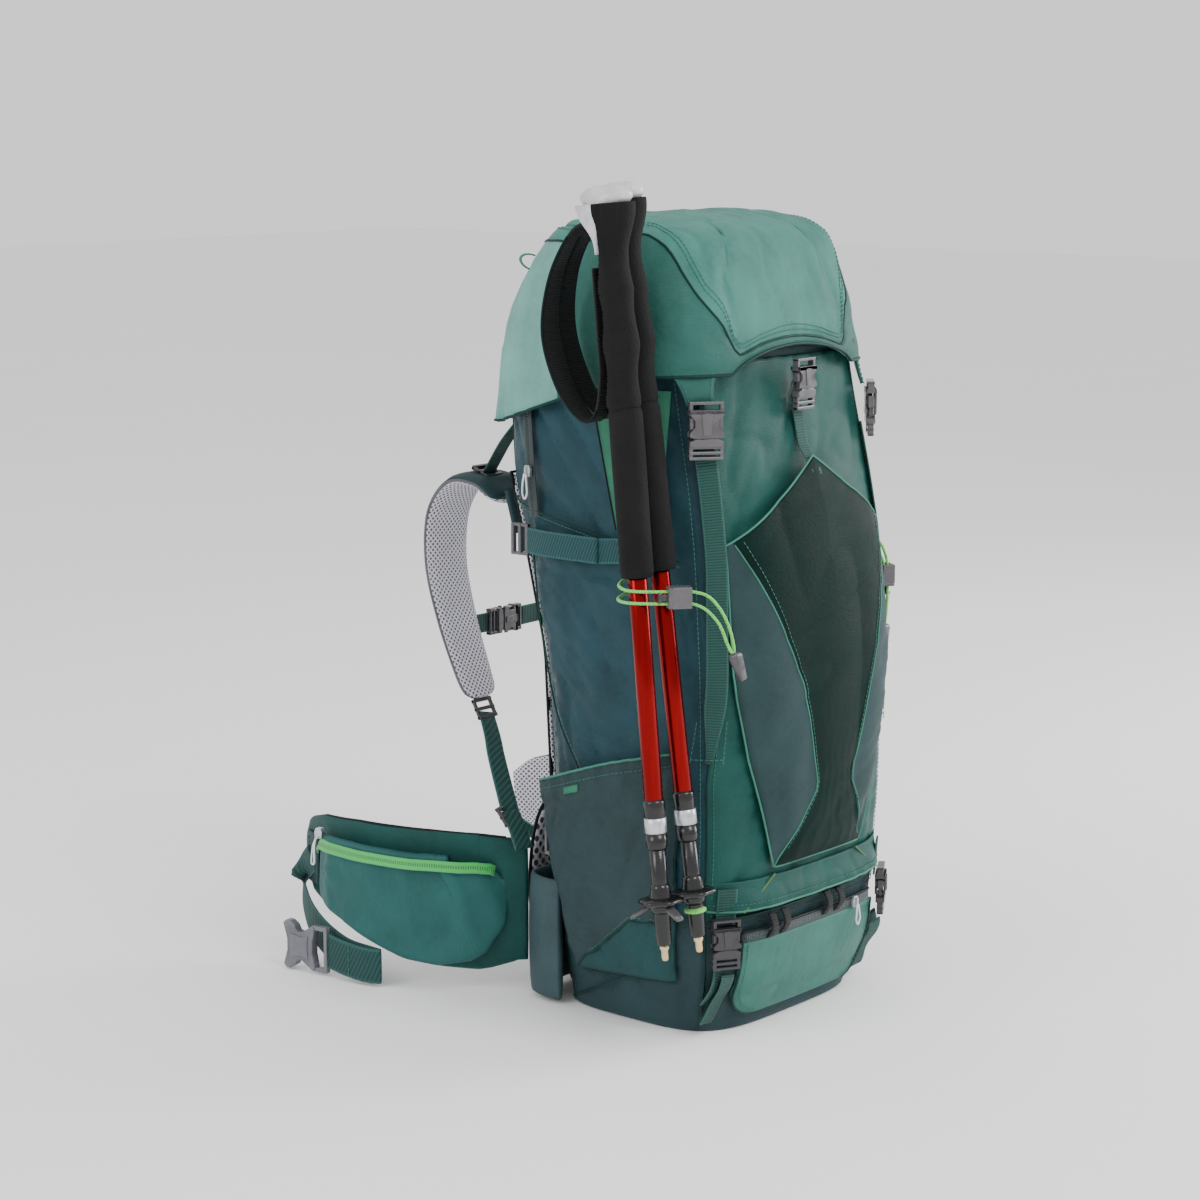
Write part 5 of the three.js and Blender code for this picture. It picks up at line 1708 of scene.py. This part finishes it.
def grip(place, rider):
    """Foam extension, contoured rubber handle, domed cap with its insert, and the wrist strap."""
    foam_profile = [(9.4, 358.4), (14.4, 359), (15.4, 364), (15.4, 420), (15.8, 470), (15.6, 508), (14, 513)]
    lathe(f"{rider}_foam", foam_profile, place, rider, "foam", "grip_foam")
    contour = [
        (14, 511), (16.4, 515), (16.6, 522), (14.4, 538), (14, 550), (16.4, 570), (14.4, 588),
        (14.2, 600), (17, 620), (14.6, 640), (14.2, 654), (15.6, 672), (16.4, 686), (16, 697),
    ]
    heights = np.linspace(contour[0][1], contour[-1][1], 90)
    shape = [(np.interp(h, [c[1] for c in contour], [c[0] for c in contour]), h) for h in heights]

    def finger(angle, height):
        front = max(cos(angle + pi / 2), 0)
        back = max(-cos(angle + pi / 2), 0)
        ribs = 0.7 * back * (sin(height * 1.3) > 0.2) * (525 < height < 650)
        flare = 6 * abs(sin(angle)) * ease(height, 655, 697)
        return front * 2.0 * sin((height - 545) / 19) - ribs + flare

    handle = lathe(f"{rider}_handle", shape, place, rider, "rubber", "grip_foam", 48, finger)
    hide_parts(f"{rider}_grip")
    ring = place.to_3x3() @ Vector((0, 1, 0))
    dome = [
        (690, 10, 24), (693, 14, 34), (697, 15.6, 46), (701, 16, 54),
        (704.5, 15.4, 55), (708, 13, 50), (711, 9, 40), (713, 4, 22),
    ]
    cap = [(place @ Vector((0, 4, h)), ring, long, 2 * half) for h, half, long in dome]
    sweep(f"{rider}_cap", cap, rider, "cap", "grip_foam", 2.3, 44)
    wedge = []
    for h in range(652, 698, 5):
        at = place @ Vector((-12.6, 8 + 6 * ease(h, 655, 695), h))
        wedge.append((at, ring, 2 + 30 * ease(h, 652, 697) ** 1.4, 8))
    sweep(f"{rider}_insert", wedge, rider, "cap", "grip_foam", 3)
    loop = spline([(0, *p) for p in WRIST_LOOP], 110)
    stations = []
    for i, p in enumerate(loop):
        wide = 16 + 12 * exp(-((i / 109 - 0.4) / 0.17) ** 2)
        stations.append((place @ p, place.to_3x3() @ Vector((1, 0, 0)), wide, 2.6))
    strap = sweep(f"{rider}_wrist_strap", stations, rider, "black_strap", "grip_foam")
    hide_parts(f"{rider}_strap")
    edges = [[at + unit(Vector(a)) * (w * k) for at, a, w, _ in stations[14:76]] for k in (-0.46, 0.46)]
    for k, line in enumerate(edges):
        tube(f"{rider}_strap_edge_{k}", line, 1.4, rider, "binding")


# ---- Studio ----
LAMP_SIZE = 1.4
LAMPS = [  # name, place and power of each soft square lamp
    ("key", (-0.4, -2.4, 3.0), 60), ("fill", (-3.0, 0.8, 1.8), 34), ("rim", (2.4, -1.3, 1.2), 60),
]


def studio():
    """A pale floor, a white sky and three lamps."""
    floor = bpy.data.meshes.new("floor")
    corners = [(x, z, -0.001) for x, z in rect(-12, 12, -12, 12)]
    floor.from_pydata(corners, [], [(0, 1, 2, 3)])
    floor.materials.append(floor_paint())
    ground = bpy.data.objects.new("floor", floor)
    bpy.context.scene.collection.objects.link(ground)
    world = bpy.data.worlds.new("studio")
    world.use_nodes = True
    world.node_tree.nodes["Background"].inputs[0].default_value = (1, 1, 1, 1)
    world.node_tree.nodes["Background"].inputs[1].default_value = 1.1
    bpy.context.scene.world = world
    for name, place, power in LAMPS:
        data = bpy.data.lights.new(name, "AREA")
        data.size = LAMP_SIZE
        data.energy = power
        light = bpy.data.objects.new(name, data)
        light.location = place
        light.rotation_euler = (Vector((0, 0, 0.4)) - Vector(place)).to_track_quat("-Z", "Y").to_euler()
        bpy.context.scene.collection.objects.link(light)


def inner_frame():
    """The stays and the sheet inside the bag stay as the CAD made them, with their own finish."""
    for node, key in (("frame_rod", "frame_metal"), ("frame_sheet", "black_plastic")):
        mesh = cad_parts[node].data
        mesh.materials.clear()
        mesh.materials.append(M[key])


make_camera()
pole_cords()
body()
body_seams()
side_strips()
collar()
bottom_flap()
lid()
lid_tabs()
front_pocket()
front_webbing()
side_pockets()
bag_webbing()
buckles()
back_and_lumbar()
shoulder_straps()
lower_webbing()
sternum()
haul_loop()
hip_belt()
poles()
inner_frame()
studio()
